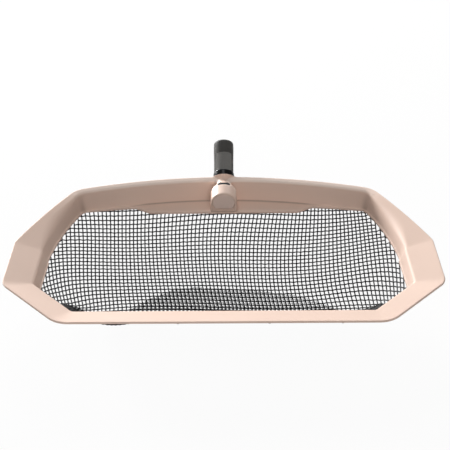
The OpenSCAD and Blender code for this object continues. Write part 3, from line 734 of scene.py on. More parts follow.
land_in = FOOT_IN - LAND_W
section = [rim_ring(0, add, 0, RIM_Z + z) for add, z in reversed(OUTER_EDGE)]
section += [rim_ring(1, add, -FALL, RIM_Z + z) for add, z in bend_over((0, 0.5, 1), WALL)]
section += band_rings((-WALL - 0.9, 1.2), (-WALL - 1.6, 0), (land_in + 0.4, 0), (land_in, -0.4), (land_in, -WALL))
section += [edge_ring(out, LEDGE_Z + z) for out, z in
            ((0.4, -WALL), (0.1, 0.12 - WALL), (0, 0.45 - WALL), (0, -0.6), (0.12, -0.22), (0.5, 0))]
foot_ring, lip_ring = band_rings((0.75, 0))[0], edge_ring(0.5, LEDGE_Z)
section += between(lip_ring, foot_ring, (0.25, 0.5, 0.68, 0.8, 0.88, 0.95, 1))
section += band_rings((0.2, 0.15), (-0.25, 0.7), (-0.65, 1.7), (-0.95, 2.9))
section += [rim_ring(1, add, -FALL, RIM_Z + z) for add, z in bend_over(np.linspace(1, 0, 11))]
flange_in, edge_in = 3.4 + soft_reach, 3.2
section += between(rim_ring(1, -flange_in, -FALL, RIM_Z + flange_in * FALL),
                   rim_ring(0, edge_in, 0, RIM_Z - edge_in * FALL), (0, 0.35, 0.7, 1))
print("section lines", len(section), "points round", len(section[0]))

# %% [markdown]
# Three rules say where light is painted into the plastic's tone: shade in the line between wall and ledge and in the
# upright valleys at the rear corners, and a highlight on the lip. One function writes their sum on the points of a
# piece.


# %% Painted shade and highlight on the plastic
def by_x(points):
    order = np.argsort(points[:, 0])
    return points[order, 0], points[order, 1]


foot_x, foot_y = by_x(foot_ring[foot_ring[:, 1] > 0])


def ledge_shade(p):
    """Painted shade where the wall meets the ledge; more of it lies on the ledge than on the wall."""
    far = np.hypot(p[:, 1] - np.interp(p[:, 0], foot_x, foot_y), p[:, 2] - LEDGE_Z)
    far = far * np.where(p[:, 2] > LEDGE_Z + 0.6, 2.2, 1.0)
    near = smooth((LEDGE_HALF + 6 - np.abs(p[:, 0])) / 30) * (p[:, 1] > 0) * (p[:, 2] > FLOOR_Z + 0.5)
    return near * (0.6 * np.exp(-(far / 1.9) ** 2) + 0.04 * np.exp(-(far / 6.5) ** 2))


def corner_shade(p):
    """Painted shade in the upright valley between the rear wall and each diagonal, as at the ledge."""
    corner = int(np.argmax(rim_r * (rim_at[:, 0] > 0) * (rim_at[:, 1] > REAR_END[1] - 1)))
    start, end = rim_at[corner] + 9 * mitres[corner], rim_at[corner] + (foot[corner] + 1) * mitres[corner]
    spot = np.column_stack([np.abs(p[:, 0]), p[:, 1]])
    share = np.clip((spot - start) @ (end - start) / ((end - start) @ (end - start)), 0, 1)
    far = np.linalg.norm(spot - start - share[:, None] * (end - start), axis=1)
    return 0.42 * np.exp(-(far / 4.5) ** 2) * smooth((RIM_Z - 4 - p[:, 2]) / 6) * (p[:, 2] > LEDGE_Z - 0.5)


def lip_painted_highlight(p):
    """A painted highlight makes the rear lip pale."""
    height = smooth((p[:, 2] - RIM_Z + 4.2) / 1.8) * (1 - smooth((p[:, 2] - RIM_Z - 0.4) / 1.2))
    return height * smooth((p[:, 1] - 105) / 45)


def mark_painted_light(piece, more=None):
    """Writes one number on each point: below 0 where shade is painted on the plastic, above 0 where a highlight is
    painted.
    """
    spots = in_drawing(piece.data)
    # Painted light: the lip's painted highlight less the deeper of the two painted shades.
    tone = lip_painted_highlight(spots) - np.maximum(ledge_shade(spots), corner_shade(spots))
    if more is not None:
        tone = np.where(np.abs(more) > np.abs(tone), more, tone)
    piece.data.attributes.new("tone", "FLOAT", "POINT").data.foreach_set("value", tone)

# %% [markdown]
# The screws' places are read from the construction model, where each screw is an island of joined points. A boss
# stands on the frame's floor over each of the ring's screws.


# %% Screw places and the frame's mesh
def screw_islands(node):
    """Middle and lowest height, in the drawing, of each screw in a CAD node, from left to right."""
    form = bmesh.new()
    form.from_mesh(nodes[node].data)
    merged(form)
    left, islands = set(form.verts), []
    while left:
        queue, found = [left.pop()], []
        while queue:
            vert = queue.pop()
            found.append(vert.co[:])
            for edge in vert.link_edges:
                other = edge.other_vert(vert)
                if other in left:
                    left.remove(other)
                    queue.append(other)
        spots = np.array(found) * 1000 + ORIGIN
        centre = (spots.min(0) + spots.max(0)) / 2
        islands.append((centre[0], centre[1], spots[:, 2].min()))
    form.free()
    return np.array(sorted(islands))


ring_screws, hub_screws = screw_islands("retainer_screws"), screw_islands("hub_screws")
BOSS_R, BOSS_H, SCREW_HOLE_R = 3.1, 9.1, 1.35
shapes = [loft(section, True)]
for x, y, _ in ring_screws:
    base = FLOOR_Z + rise(y)
    top = base + BOSS_H
    boss = lathe([(0, base + 0.5), (BOSS_R, base + 0.5), (BOSS_R, top), (BOSS_R - 0.5, top + 0.5), (0, top + 0.5)], 32)
    shapes.append(moved(boss, x, y))
scoop = mesh_object("scoop", *join_shapes(*shapes), rose, sharp=38)
# Painted shade and the lip's painted highlight are written on the scoop's points.
mark_painted_light(scoop)
settle(scoop, "rose_plastic", "scoop_frame")

# %% [markdown]
# ## The hub
# On the real object the hub and the rim are one moulding: the neck rises out of the lip in a soft hollow curve. A
# lofted hump gives the body, a slice of the frame's section gives the rim, and the two meet in a rounded valley. A
# voxel remesh joins them, and then each point slides along its normal until a smooth minimum of its distances to
# the two shapes is zero, which is how round fillets are made out of two plain surfaces.

# %% Hump shape
HUMP_R, HUMP_H, HUMP_LEAN, NECK_R, SHOULDER_R = 17.3, 15.5, math.radians(12), 8.6, 14.0
TAN_LEAN = math.tan(HUMP_LEAN)
HUMP_FRONT = np.array([0, LEDGE_FRONT + 0.5 - TAN_LEAN * HUMP_H, LEDGE_Z + HUMP_H])


def hump_mid(f):
    return np.array([0, HUMP_FRONT[1] + f * (SHOULDER[1] - HUMP_FRONT[1]),
                     HUMP_FRONT[2] + f ** 1.15 * (SHOULDER[2] - HUMP_FRONT[2])])


def hump_radius(f):
    return (NECK_R + (HUMP_R - NECK_R) * (1 - smooth((f - 0.38) / 0.4))
            + (SHOULDER_R - NECK_R) * smooth((f - 0.82) / 0.15))


def hump_ring(f, grow, count):
    centre, r = hump_mid(f), hump_radius(f) + grow
    round_share = smooth((f - 0.55) / 0.25)
    tilt = HUMP_LEAN + (POLE_TILT - HUMP_LEAN) * smooth(f)
    depth = (centre[2] - LEDGE_Z) * (1 - round_share) + r * math.cos(tilt) * round_share
    power = 0.16 + 0.84 * round_share
    a = np.arange(count) * 2 * math.pi / count
    up = np.sin(a) >= 0
    x = np.where(up, r * np.cos(a), r * np.sign(np.cos(a)) * np.abs(np.cos(a)) ** power)
    z = np.where(up, r * math.cos(tilt) * np.sin(a), -depth * np.abs(np.sin(a)) ** power)
    x = x * np.where(up, 1, 1 + 0.045 * (1 - round_share) * smooth(-z / depth))
    return np.column_stack([x, centre[1] - math.tan(tilt) * z, centre[2] + z])


hump_places = [(0, -1.5), (0.006, -0.9), (0.016, -0.45), (0.032, -0.15), (0.05, 0)]
hump_places += [(f, 0) for f in np.linspace(0.07, 0.985, 56)] + [(0.994, -0.12), (1, -0.5)]
hump_shape = loft([hump_ring(f, grow, 128) for f, grow in hump_places], False)

HALF_SLICE = 44.0
near_hub = [k for k, (x, y, _) in enumerate(section[0]) if abs(x) < HALF_SLICE and y > 0]
slice_shape = loft([np.array([line[k] for line in section]) for k in near_hub], False)
print("hump rings", len(hump_places), "slices of the frame", len(near_hub))

# %% [markdown]
# A BVH tree answers "how far is the nearest surface" quickly. The sign comes from the face's normal: positive
# outside, negative inside.

# %% Blend the hump into the rim
# Voxel size, depth to which the frame's slice is buried, slides, share of the way that each slide goes, width of the
# tight and of the wide fillet, and width of the painted shade in the crease.
VOXEL, BURIED, SLIDES, SLIDE_SHARE, FILLET, WIDE_FILLET, CREASE_W = 0.75, 0.14, 4, 0.8, 1.8, 6.5, 1.6


def surface_tree(shape):
    form = bmesh.new()
    verts = [form.verts.new(p) for p in shape[0]]
    for face in shape[1]:
        form.faces.new([verts[i] for i in face])
    faces_out(form)
    tree = BVHTree.FromBMesh(form)
    form.free()
    return tree


def signed(tree, point):
    spot, normal, _, far = tree.find_nearest(point)
    return far if (Vector(point) - spot).dot(normal) > 0 else -far


hump_tree, slice_tree = surface_tree(hump_shape), surface_tree(slice_shape)
hub = mesh_object("hub", *join_shapes(hump_shape, slice_shape), rose_hub)
voxels = hub.modifiers.new("join", "REMESH")
voxels.mode, voxels.voxel_size = "VOXEL", VOXEL / 1000
baked(hub)
mesh, spots = hub.data, in_drawing(hub.data)
count = len(spots)
crease = np.zeros(count)
for _ in range(SLIDES):
    normals = np.empty(count * 3)
    mesh.vertices.foreach_get("normal", normals)
    normals = normals.reshape(-1, 3)
    for i in range(count):
        p = spots[i]
        d1, d2 = signed(hump_tree, p), signed(slice_tree, p) + BURIED
        k = FILLET + (WIDE_FILLET - FILLET) * float(smooth((p[2] - RIM_Z + 9) / 6)) * (p[1] > LEDGE_FRONT + 20)
        h = max(k - abs(d1 - d2), 0) / k
        # Painted shade: a dark band along the tight fillets, where the hump meets the frame.
        crease[i] = max(1 - abs(d1 - d2) / CREASE_W, 0) * (k < 3)
        spots[i] = p - normals[i] * (min(d1, d2) - h * h * k / 4) * SLIDE_SHARE
    mesh.vertices.foreach_set("co", placed(spots).ravel())
    mesh.update()
print("hub points", count)

# %% [markdown]
# The hub is cut for what it holds: the seat of its cap, the slot and the shaft of the release key, the hollow that
# the insert's tab reaches into and the bore for the insert's spigot. Boolean modifiers do it, one for each cutter.

# %% Cut the hub
CAP_R, CAP_DEPTH, CAP_FLAT_Z, CAP_CORNER_R = 15.0, 2.4, 5.0, 3.2
KEY_W, KEY_LEN, KEY_AHEAD, KEY_BACK, KEY_TRAVEL, KEY_SLACK = 17.2, 4.6, 1.6, 19.0, 3.0, 0.2
KEY_Y = LEDGE_FRONT + KEY_BACK
BAR_HALF, BAR_Y = (KEY_LEN + KEY_AHEAD) / 2, KEY_Y - KEY_AHEAD / 2
SHELF_Z, SHELF_T = LEDGE_Z + HUMP_H - 0.5, 2.0
KEY_SEAT_Z = SHELF_Z + SHELF_T + 9
CAVITY_HALF, CAVITY_FRONT, CAVITY_REAR = 7.5, KEY_Y - 8, KEY_Y + 12.5
SPIGOT_R, SPIGOT_LEN = 7.0, 24.0
print("the key's bar rests", round(float(KEY_SEAT_Z - LEDGE_Z), 1), "mm above the ledge")


def on_cap(shape):
    """A shape drawn on the hump's front face: x across, y up the face and z out of it."""
    p = np.asarray(shape[0], float)
    up = np.array([0, -math.sin(HUMP_LEAN), math.cos(HUMP_LEAN)])
    out = np.array([0, -math.cos(HUMP_LEAN), -math.sin(HUMP_LEAN)])
    return HUMP_FRONT + p[:, :1] * np.array([1.0, 0, 0]) + p[:, 1:2] * up + p[:, 2:] * out, shape[1]


def arc(x, y, radius, start, end, count):
    return [(x + radius * math.cos(a), y + radius * math.sin(a)) for a in np.linspace(start, end, count)]


def d_outline(inset):
    """A round plate with a flat lower edge whose two corners are rounded."""
    r, low = CAP_R - inset, -(HUMP_H - CAP_FLAT_Z) / math.cos(HUMP_LEAN) + inset
    k = max(CAP_CORNER_R - inset * 0.5, 0.6)
    cx = math.sqrt((r - k) ** 2 - (low + k) ** 2)
    start = math.atan2(low + k, cx)
    return np.array(arc(0, 0, r, start, math.pi - start, 72)
                    + arc(-cx, low + k, k, math.pi - start, 1.5 * math.pi, 8)[1:]
                    + arc(cx, low + k, k, -0.5 * math.pi, start, 8)[:-1])


def bar_outline(half_w, half_l):
    """A bar's outline with round ends."""
    return np.array(arc(half_w - half_l, 0, half_l, -math.pi / 2, math.pi / 2, 12)
                    + arc(half_l - half_w, 0, half_l, math.pi / 2, 1.5 * math.pi, 12))


def block(x0, x1, y0, y1, z0, z1):
    return prism(np.array([(x0, y0), (x1, y0), (x1, y1), (x0, y1)]), z0, z1)


def carve(piece, shapes, sharp):
    """Cuts shapes out of a piece, one Boolean modifier for each."""
    tools = [mesh_object("cutter", *shape, rose) for shape in shapes]
    for tool in tools:
        cut = piece.modifiers.new("cut", "BOOLEAN")
        cut.operation, cut.solver, cut.object = "DIFFERENCE", "MANIFOLD", tool
    baked(piece)
    smooth_but(piece.data, sharp)
    for tool in tools:
        bpy.data.objects.remove(tool)

# %% [markdown]
# Each cutter stands where its part will be, a little larger than that part, so that a thin dark seam stays open.

# %% Cutters
SEAT_GAP, SPRING_R, STEM_HOLE_R, COLLAR_SEAT = 0.12, 5.4, 3.3, -2.6
cutters = [
    on_cap(prism(d_outline(-SEAT_GAP), -CAP_DEPTH, 6.0)),
    moved(prism(bar_outline(KEY_W / 2 + KEY_SLACK, BAR_HALF + KEY_SLACK), KEY_SEAT_Z - KEY_TRAVEL - 0.4,
                KEY_SEAT_Z + 20), 0, BAR_Y),
    block(-CAVITY_HALF, CAVITY_HALF, CAVITY_FRONT, CAVITY_REAR, FLOOR_Z - 4, SHELF_Z),
    moved(rod(SPRING_R, SHELF_Z + SHELF_T, KEY_SEAT_Z - 1, 48), 0, KEY_Y),
    moved(rod(STEM_HOLE_R, SHELF_Z - 1, SHELF_Z + 5, 48), 0, KEY_Y),
    along_pole(rod(SPIGOT_R + 0.1, -SPIGOT_LEN - 0.4, 3, 64)),
    along_pole(rod(16.5, COLLAR_SEAT, 4, 64)),
]
cutters += [moved(rod(SCREW_HOLE_R, FLOOR_Z - 4, 9.5, 24), x, y) for x, y, _ in hub_screws]
# Painted light on the hub: shade in its tight fillets, besides the ledge's painted shade and the lip's highlight.
mark_painted_light(hub, -0.6 * crease)
carve(hub, cutters, 40)
settle(hub, "rose_plastic", "hub_housing")

# %% [markdown]
# ## Cap and release key
# The round plate with the flat lower edge closes the hub's front. A small chamfer round it draws the thin dark seam.
# The release key is a black bar with round ends, arched like the hump that it lies in.

# %% Cap and key
CAP_LAYERS = [(0.35, -CAP_DEPTH), (0.2, -CAP_DEPTH + 0.2), (0.2, -0.75), (0.3, -0.45), (0.55, -0.2), (0.9, -0.08),
              (2.0, 0.0), (4.5, 0.07), (7.5, 0.12)]
cap_plate = loft([level(d_outline(inset), z) for inset, z in CAP_LAYERS], False)
# The cap wears the lightened rose plastic, so light is painted on its front face.
dressed("cap", on_cap(cap_plate), rose_cap_painted_light, 40, "rose_plastic", "hub_cap")

KEY_TOP_R = HUMP_R - 0.9
key_top_z = hump_mid(0.42)[2]


def key_layer(inset, drop):
    ring = bar_outline(KEY_W / 2 - inset, BAR_HALF - inset)
    height = key_top_z + np.sqrt(KEY_TOP_R ** 2 - ring[:, 0] ** 2) - drop
    return np.column_stack([ring, height])


key_foot = bar_outline(KEY_W / 2, BAR_HALF)
key_rings = [level(key_foot * (0.98, 0.94), KEY_SEAT_Z), level(key_foot, KEY_SEAT_Z + 0.2)]
key_rings += [key_layer(inset, drop) for inset, drop in
              ((0, 0.9), (0.05, 0.55), (0.2, 0.25), (0.45, 0.08), (0.9, 0.0), (1.6, -0.03), (2.2, -0.04))]
STEM_R, BARREL_R, BARREL_H, RING_T = 2.4, 3.2, 2.8, 1.0
barrel_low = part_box("release_key")[0][2] * 1000 + ORIGIN[2]
barrel_top, groove = barrel_low + BARREL_H, SHELF_Z - 0.2 - RING_T
stem = lathe([(0, barrel_low), (BARREL_R - 0.3, barrel_low), (BARREL_R, barrel_low + 0.3),
              (BARREL_R, barrel_top - 0.3), (BARREL_R - 0.3, barrel_top), (STEM_R, barrel_top),
              (STEM_R, groove - 0.05), (STEM_R - 0.5, groove - 0.05), (STEM_R - 0.5, groove + RING_T + 0.05),
              (STEM_R, groove + RING_T + 0.05), (STEM_R, KEY_SEAT_Z + 0.8), (0, KEY_SEAT_Z + 0.8)], 40)
key_shape = join_shapes(moved(loft(key_rings, False), 0, BAR_Y), moved(stem, 0, KEY_Y))
dressed("key", key_shape, satin_black, 40, "black_plastic", "release_key", body="key")

# %% [markdown]
# ## Pole insert
# The insert is a turned tube on a spigot whose tab reaches under the release key. The pocket of the grip pad and the
# hole of the lock button are cut out of it.

# %% Insert
COLLAR_R, COLLAR_LEN, COLLAR_IN, COLLAR_LOW, INSERT_LEN, NOSE_R, NOSE_ROUND = 14.2, 5.0, 12.1, -2.6, 51.2, 13.2, 3.6
GUIDE_R, GUIDE_LEN, BODY_R, BORE_R, TUBE_END = 13.4, 12.0, 13.15, 10.8, 46.0
core_profile = [(0, -SPIGOT_LEN), (6.6, -SPIGOT_LEN), (7.0, -SPIGOT_LEN + 0.4), (7.0, -3), (11.9, -2.6), (11.9, 4.9),
                (BODY_R, 4.95), (BODY_R, 20), (GUIDE_R - 0.1, GUIDE_S), (GUIDE_R, GUIDE_S + 1),
                (GUIDE_R, GUIDE_S + GUIDE_LEN - 0.3), (GUIDE_R - 0.25, GUIDE_S + GUIDE_LEN),
                (GUIDE_R - 0.3, TUBE_END - 0.1), (GUIDE_R - 0.5, TUBE_END), (BORE_R, TUBE_END), (BORE_R, 4.0),
                (5.2, 4.0), (5.2, 6 - SPIGOT_LEN), (0, 6 - SPIGOT_LEN)]
TAB_W, TAB_T, NOTCH_R = 12.0, 2.4, 3.4
spigot_end = SHOULDER - SPIGOT_LEN * POLE_DIR
tab_low, tab_front, tab_rear = spigot_end[2] - TAB_T / 2 - 0.2, KEY_Y - 6.8, spigot_end[1] + 3
notch = arc(0, KEY_Y, NOTCH_R, math.radians(220), math.radians(-40), 20)
tab_outline = np.array([(TAB_W / 2, tab_front), (TAB_W / 2, tab_rear), (-TAB_W / 2, tab_rear), (-TAB_W / 2, tab_front),
                        (-2.6, tab_front)] + notch + [(2.6, tab_front)])
tab = prism(tab_outline, tab_low, tab_low + TAB_T)
# The insert's body wears the grey black whose base paints in its sheen.
core = mesh_object("insert", *join_shapes(along_pole(lathe(core_profile, 96)), tab), sheen_grey_black)

PAD_START, PAD_LEN, PAD_R, PAD_DEPTH, POCKET_HALF = 5.6, 25.8, 13.15, 1.1, math.radians(55.2)
BUTTON_S, BUTTON_R = 25.0, 3.2


def through_wall(shape):
    """Turns a shape from the pole's axis to the way that the lock button moves."""
    p = shape[0]
    return along_pole((np.column_stack([p[:, 0], p[:, 2], BUTTON_S - p[:, 1]]), shape[1]))


low_side = -math.pi / 2
pocket = arc(0, 0, PAD_R + 2, low_side - POCKET_HALF, low_side + POCKET_HALF, 40)
pocket += arc(0, 0, PAD_R - PAD_DEPTH - 0.1, low_side + POCKET_HALF, low_side - POCKET_HALF, 40)
pad_pocket = along_pole(prism(np.array(pocket), PAD_START - 0.1, PAD_START + PAD_LEN + 0.1))
carve(core, [pad_pocket, through_wall(rod(BUTTON_R + 0.1, 6, 16, 48))], 35)
settle(core, "black_plastic", "insert_core")

# %% [markdown]
# The collar flares towards the hub, and the plug ends the insert in a round nose; both are turned. The pad is lofted
# from arcs whose outer line is a row of soft ribs that fade out at both ends.

# %% Collar, plug and pad
collar_profile = [(COLLAR_IN, COLLAR_LOW), (COLLAR_R + 0.25, COLLAR_LOW), (COLLAR_R + 0.45, COLLAR_LOW + 0.2),
                  (COLLAR_R + 0.38, COLLAR_LOW + 0.9), (COLLAR_R + 0.1, 0.5), (COLLAR_R - 0.25, 2.6),
                  (COLLAR_R - 0.45, 4.1), (COLLAR_R - 0.6, 4.7), (COLLAR_R - 0.95, COLLAR_LEN), (COLLAR_IN, COLLAR_LEN)]
collar_shape = along_pole(lathe(collar_profile, 96, True))
dressed("collar", collar_shape, gloss_black, 50, "black_plastic", "insert_collar")

plug_profile = [(0, TUBE_END - 3), (BORE_R - 0.4, TUBE_END - 3), (BORE_R - 0.1, TUBE_END - 2.7),
                (BORE_R - 0.1, TUBE_END), (NOSE_R - 0.25, TUBE_END), (NOSE_R, TUBE_END + 0.2),
                *dome(NOSE_R, INSERT_LEN, NOSE_ROUND), (6.0, INSERT_LEN), (0, INSERT_LEN)]
# The end plug wears the same painted-sheen grey black.
dressed("end_plug", along_pole(lathe(plug_profile, 96)), sheen_grey_black, 50, "black_plastic", "insert_end_plug")

PAD_HALF, PAD_RIBS, RIB_H = 54.6, 14, 0.42
lanes = np.linspace(-PAD_HALF, PAD_HALF, PAD_RIBS * 8 + 1)
rib = 0.5 - 0.5 * np.cos((lanes + PAD_HALF) / (2 * PAD_HALF) * PAD_RIBS * 2 * math.pi)
end_rows = np.array([0, 0.25, 0.7, 1.3, 1.7])
rows = np.concatenate([end_rows, np.linspace(3, PAD_LEN - 3, 5), PAD_LEN - end_rows[::-1]])
lane_angles = np.radians(lanes - 90)
pad_rings = []
for s in rows:
    end_way = min(s, PAD_LEN - s)
    ribbed = smooth((end_way - 0.7) / 0.8)
    rounding = 0.25 * (1 - min(1, end_way / 0.3)) ** 2
    outer = PAD_R - 0.05 - rounding - ribbed * RIB_H * rib ** 0.6
    circle = np.column_stack([np.cos(lane_angles), np.sin(lane_angles)])
    outline = np.concatenate([outer[:, None] * circle, (PAD_R - PAD_DEPTH) * circle[::-1]])
    pad_rings.append(level(outline, PAD_START + s))
dressed("pad", along_pole(loft(pad_rings, False)), grey_rubber, 50, "grey_pad", "grip_pad")

# %% [markdown]
# ## The net
# The bag hangs from its bound edge in one smooth sag. It is knotted from single threads, so the finished piece is
# made of threads too: two families of lines that cross every five millimetres, one over and one under by turns.
# The bag's height is a plain rule of its place, and the lines are found on it in three steps. First the columns run
# from the rear to the front. Then a counter that grows along each column says where the rows cross it. At last the
# crossings become the threads' corner points.

# %% The bag's surface
STRAND, NET_SAG, NET_LOW, NET_OUT = 1.6, 100.0, 0.63, 0.3
NET_BEND = math.log(0.5) / math.log(NET_LOW)
NET_TOP = FLOOR_Z - STRAND / 2 - 0.05
SLACK_X, SLACK_W, SLACK_SHARE = -148.0, 36.0, 0.092
net_line = edge_ring(NET_OUT, 0)[:, :2]
right_side = net_line[net_line[:, 0] > 0]
front_w, rear_w = net_edges[2][0] - 1, net_edges[3][0] - 1
split = right_side[np.argmax(right_side[:, 0]), 1]
front_x, front_y = by_x(right_side[right_side[:, 1] <= split])
rear_x, rear_y = by_x(right_side[right_side[:, 1] >= split])


def front_at(x):
    return np.interp(np.abs(x), front_x, front_y)


def rear_at(x):
    return np.interp(np.abs(x), rear_x, rear_y)


net_len = rear_at(0) - front_at(0)


def bag_height(x, y):
    """Height of the bag at a place inside its edge."""
    x, y = np.broadcast_arrays(np.asarray(x, float), np.asarray(y, float))
    v = np.clip((y - front_at(x)) / np.maximum(rear_at(x) - front_at(x), 1), 0, 1)
    for _ in range(6):
        u = np.clip(x / (front_w + v * (rear_w - front_w)), -1, 1)
        near, far = front_at(u * front_w), rear_at(u * rear_w)
        v = np.clip((y - near) / np.maximum(far - near, 1), 0, 1)
    run = np.maximum(far - near, 0)
    depth = (NET_SAG * np.sin(math.pi * v ** NET_BEND).clip(0, 1) ** 0.85 * np.minimum(1, run / net_len)
             * np.sqrt(np.clip(1 - u ** 8, 0, 1)))
    slack = SLACK_SHARE * np.exp(-((x - SLACK_X) / SLACK_W) ** 2) - 0.014
    return NET_TOP + rise(y) - depth * (1 + slack)


deepest = bag_height(0, front_at(0) + NET_LOW * net_len)
print("net length", round(float(net_len), 1), "deepest", round(float(deepest), 1))

# %% [markdown]
# A knotted net is never quite regular: its rows bow and its columns lean as the bag pulls them about. Two counters
# describe that. One grows by one from row to row and one from column to column, over the face that the bag turns to
# the viewer, and both are a plain ramp with a few slow waves on it. Towards the front edge, where that face is seen
# almost edge on, the rows go on by the length of the thread instead, and the columns run straight.

# %% Rows and columns as counters
# Pixels from row to row and from column to column, the net's pitch in millimetres, and the middle and the half size of
# the bag's face as the camera sees it; then the bounds of a gap in pixels.
ROW_STEP, COLUMN_STEP, PITCH, CAM_FACE, FACE_REACH = 3.8, 3.95, 5.1, (223.8, 262), (190, 50)
SMALLEST_GAP, LARGEST_ROW, LARGEST_COLUMN = 3.1, 4.8, 4.9
ROW_WAVES = [[-0.44, 0.18, -3.74, 4.7, 18.64, -2.61, -15.01], [0.2, -1.36, 4.07, 3.91, -6.73, -4.35],
             [0.88, -1.01, -0.55, 0.48, -5.22], [-0.62, -0.61, -0.54, 2.2]]
COLUMN_WAVES = [[-0.33, 1.51, -0.58, -3.3, -3.07, 1.5, 3.47], [-0.62, 3.16, 1.46, -15.01, -2.74, 13.95],
                [-1.56, -1.14, 3.03, 1.92, -1.47], [-0.01, -1.21, -1.4, 2.7]]


def waves(px, py, table):
    """Slow waves over the bag's face: products of powers across it and down it."""
    across = np.clip((px - CAM_FACE[0]) / FACE_REACH[0], -1, 1)
    down = np.clip((py - CAM_FACE[1]) / FACE_REACH[1], -1.1, 1)
    return sum(value * across ** i * down ** j for j, line in enumerate(table) for i, value in enumerate(line))


THREAD_R, WEAVE, KNOT_CLEAR, HEM_REACH, LED_ON, EDGE_ON = 0.85, 0.45, 1.5, 2.6, 7.5, 303.0
GRID_HALF, GRID_ROWS = 242, 640
xs = np.linspace(-GRID_HALF, GRID_HALF, 2 * GRID_HALF + 1)
ys = np.linspace(rear_y.max() + 4, front_y.min() - 4, GRID_ROWS)
grid_x, grid_y = np.meshgrid(xs, ys)
grid_z = bag_height(grid_x, grid_y)
grid = np.stack([grid_x, grid_y, grid_z], -1)
px, py = (a.reshape(grid_x.shape) for a in seen(grid.reshape(-1, 3)))
turned_away = smooth((np.maximum.accumulate(py, axis=0) - EDGE_ON) / 8)
print("grid over the bag", grid_x.shape)

# %% [markdown]
# A counter is summed up along its own way: the wanted growth at each step is kept between a smallest and a largest
# gap, so that the waves can never turn it round. Past the place where the bag turns away, each column keeps its
# number.

# %% Counters over the bag
middle_col = GRID_HALF
middle_row = int(np.argmax(py[:, middle_col] > CAM_FACE[1]))
by_eye = py / ROW_STEP + waves(px, py, ROW_WAVES)
down = np.diff(py, axis=0)
rate = np.clip(np.diff(by_eye, axis=0) / np.maximum(down, 1e-3), 1 / LARGEST_ROW, 1 / SMALLEST_GAP)
length = np.linalg.norm(np.diff(grid, axis=0), axis=2)
steepest = 1.5 + 8 * (1 - smooth((np.abs(grid_x[1:]) - 130) / 50))
length = np.minimum(length, steepest * np.abs(np.diff(grid_y, axis=0)))
share = turned_away[1:]
growth = (1 - share) * rate * down.clip(0) + share * length / PITCH
rows_so_far = np.concatenate([np.zeros((1, len(xs))), np.cumsum(growth, axis=0)])
row_count = rows_so_far - rows_so_far[middle_row] + by_eye[middle_row]

by_eye = px / COLUMN_STEP + waves(px, py, COLUMN_WAVES)
across = np.diff(px, axis=1)
rate = np.clip(np.diff(by_eye, axis=1) / np.maximum(across, 1e-3), 1 / LARGEST_COLUMN, 1 / SMALLEST_GAP)
columns_so_far = np.concatenate([np.zeros((len(ys), 1)), np.cumsum(rate * across, axis=1)], axis=1)
column_count = columns_so_far - columns_so_far[:, [middle_col]] + by_eye[:, [middle_col]]
last_seen = np.argmax(turned_away > 0.5, axis=0)
last_seen = np.where(last_seen == 0, len(ys) - 1, last_seen)
held = np.minimum(np.arange(len(ys))[:, None], last_seen[None, :])
column_count = np.take_along_axis(column_count, held, axis=0)
column_count = np.maximum.accumulate(column_count, axis=1)
print("rows", round(float(np.ptp(row_count[:, middle_col]))), "columns", round(float(np.ptp(column_count[middle_row]))))

# %% [markdown]
# A column is a line on which its counter stays the same. It is found row by row of the grid and kept where the net
# may be.


# %% Columns
def inside(x, y, slack=0.0):
    wide = max(front_x[-1], rear_x[-1]) + slack
    return (np.abs(x) < wide) & (y > front_at(x) - slack) & (y < rear_at(x) + slack)


def longest_run(kept):
    spots = np.arange(len(kept))[kept]
    return max(np.split(spots, np.where(np.diff(spots) > 1)[0] + 1), key=len)


def column_lines(allowed, shift=0.0, drop=0.0, finer=1):
    """Each column as places and row counts, kept where it is allowed."""
    found = {}
    first, last = math.ceil(column_count.min() * finer + shift), math.floor(column_count.max() * finer + shift)
    for number in range(first, last + 1):
        x = np.array([np.interp((number - shift) / finer, column_count[i], xs) for i in range(len(ys))])
        count = np.array([np.interp(x[i], xs, row_count[i]) for i in range(len(ys))]) * finer + shift
        run = longest_run(allowed(x, ys))
        if len(run) > 20:
            z = bag_height(x[run], ys[run]) - drop
            found[number] = (x[run], ys[run], z, count[run])
    return found


columns = column_lines(lambda x, y: inside(x, y, HEM_REACH))
print("columns", len(columns))

# %% [markdown]
# Each crossing is the place on a column where the count of the rows reaches a whole number.

# %% Crossings
def crossings(line):
    """Row number to point, for one column."""
    x, y, z, count = line
    found = {}
    for row in range(int(math.ceil(count.min())), int(count.max()) + 1):
        over = np.where((count[:-1] - row) * (count[1:] - row) <= 0)[0]
        if len(over):
            k = over[0]
            share = (row - count[k]) / max(count[k + 1] - count[k], 1e-6)
            found[row] = np.array([a[k] + share * (a[k + 1] - a[k]) for a in (x, y, z)])
    return found


def led_on(points, drop):
    """Leads a row's last stretch on to the net's edge."""
    last, way = points[-1], points[-1] - points[-2]
    way = way / max(np.linalg.norm(way[:2]), 1e-6)
    for far in np.arange(0.4, LED_ON, 0.2):
        spot = last + way * far
        if not inside(spot[0], spot[1], HEM_REACH):
            spot[2] = bag_height(spot[0], spot[1]) - drop
            return points + [spot]
    return points

# %% [markdown]
# At a crossing the column's thread lies a little above the row's, and below it at the next one. Rows that end
# between two columns are led on to the hem.


# %% Weaving
def woven(number, row):
    """A column goes over one row and under the next; the rows do the opposite."""
    return np.array([0, 0, WEAVE * (-1) ** (number + row)])


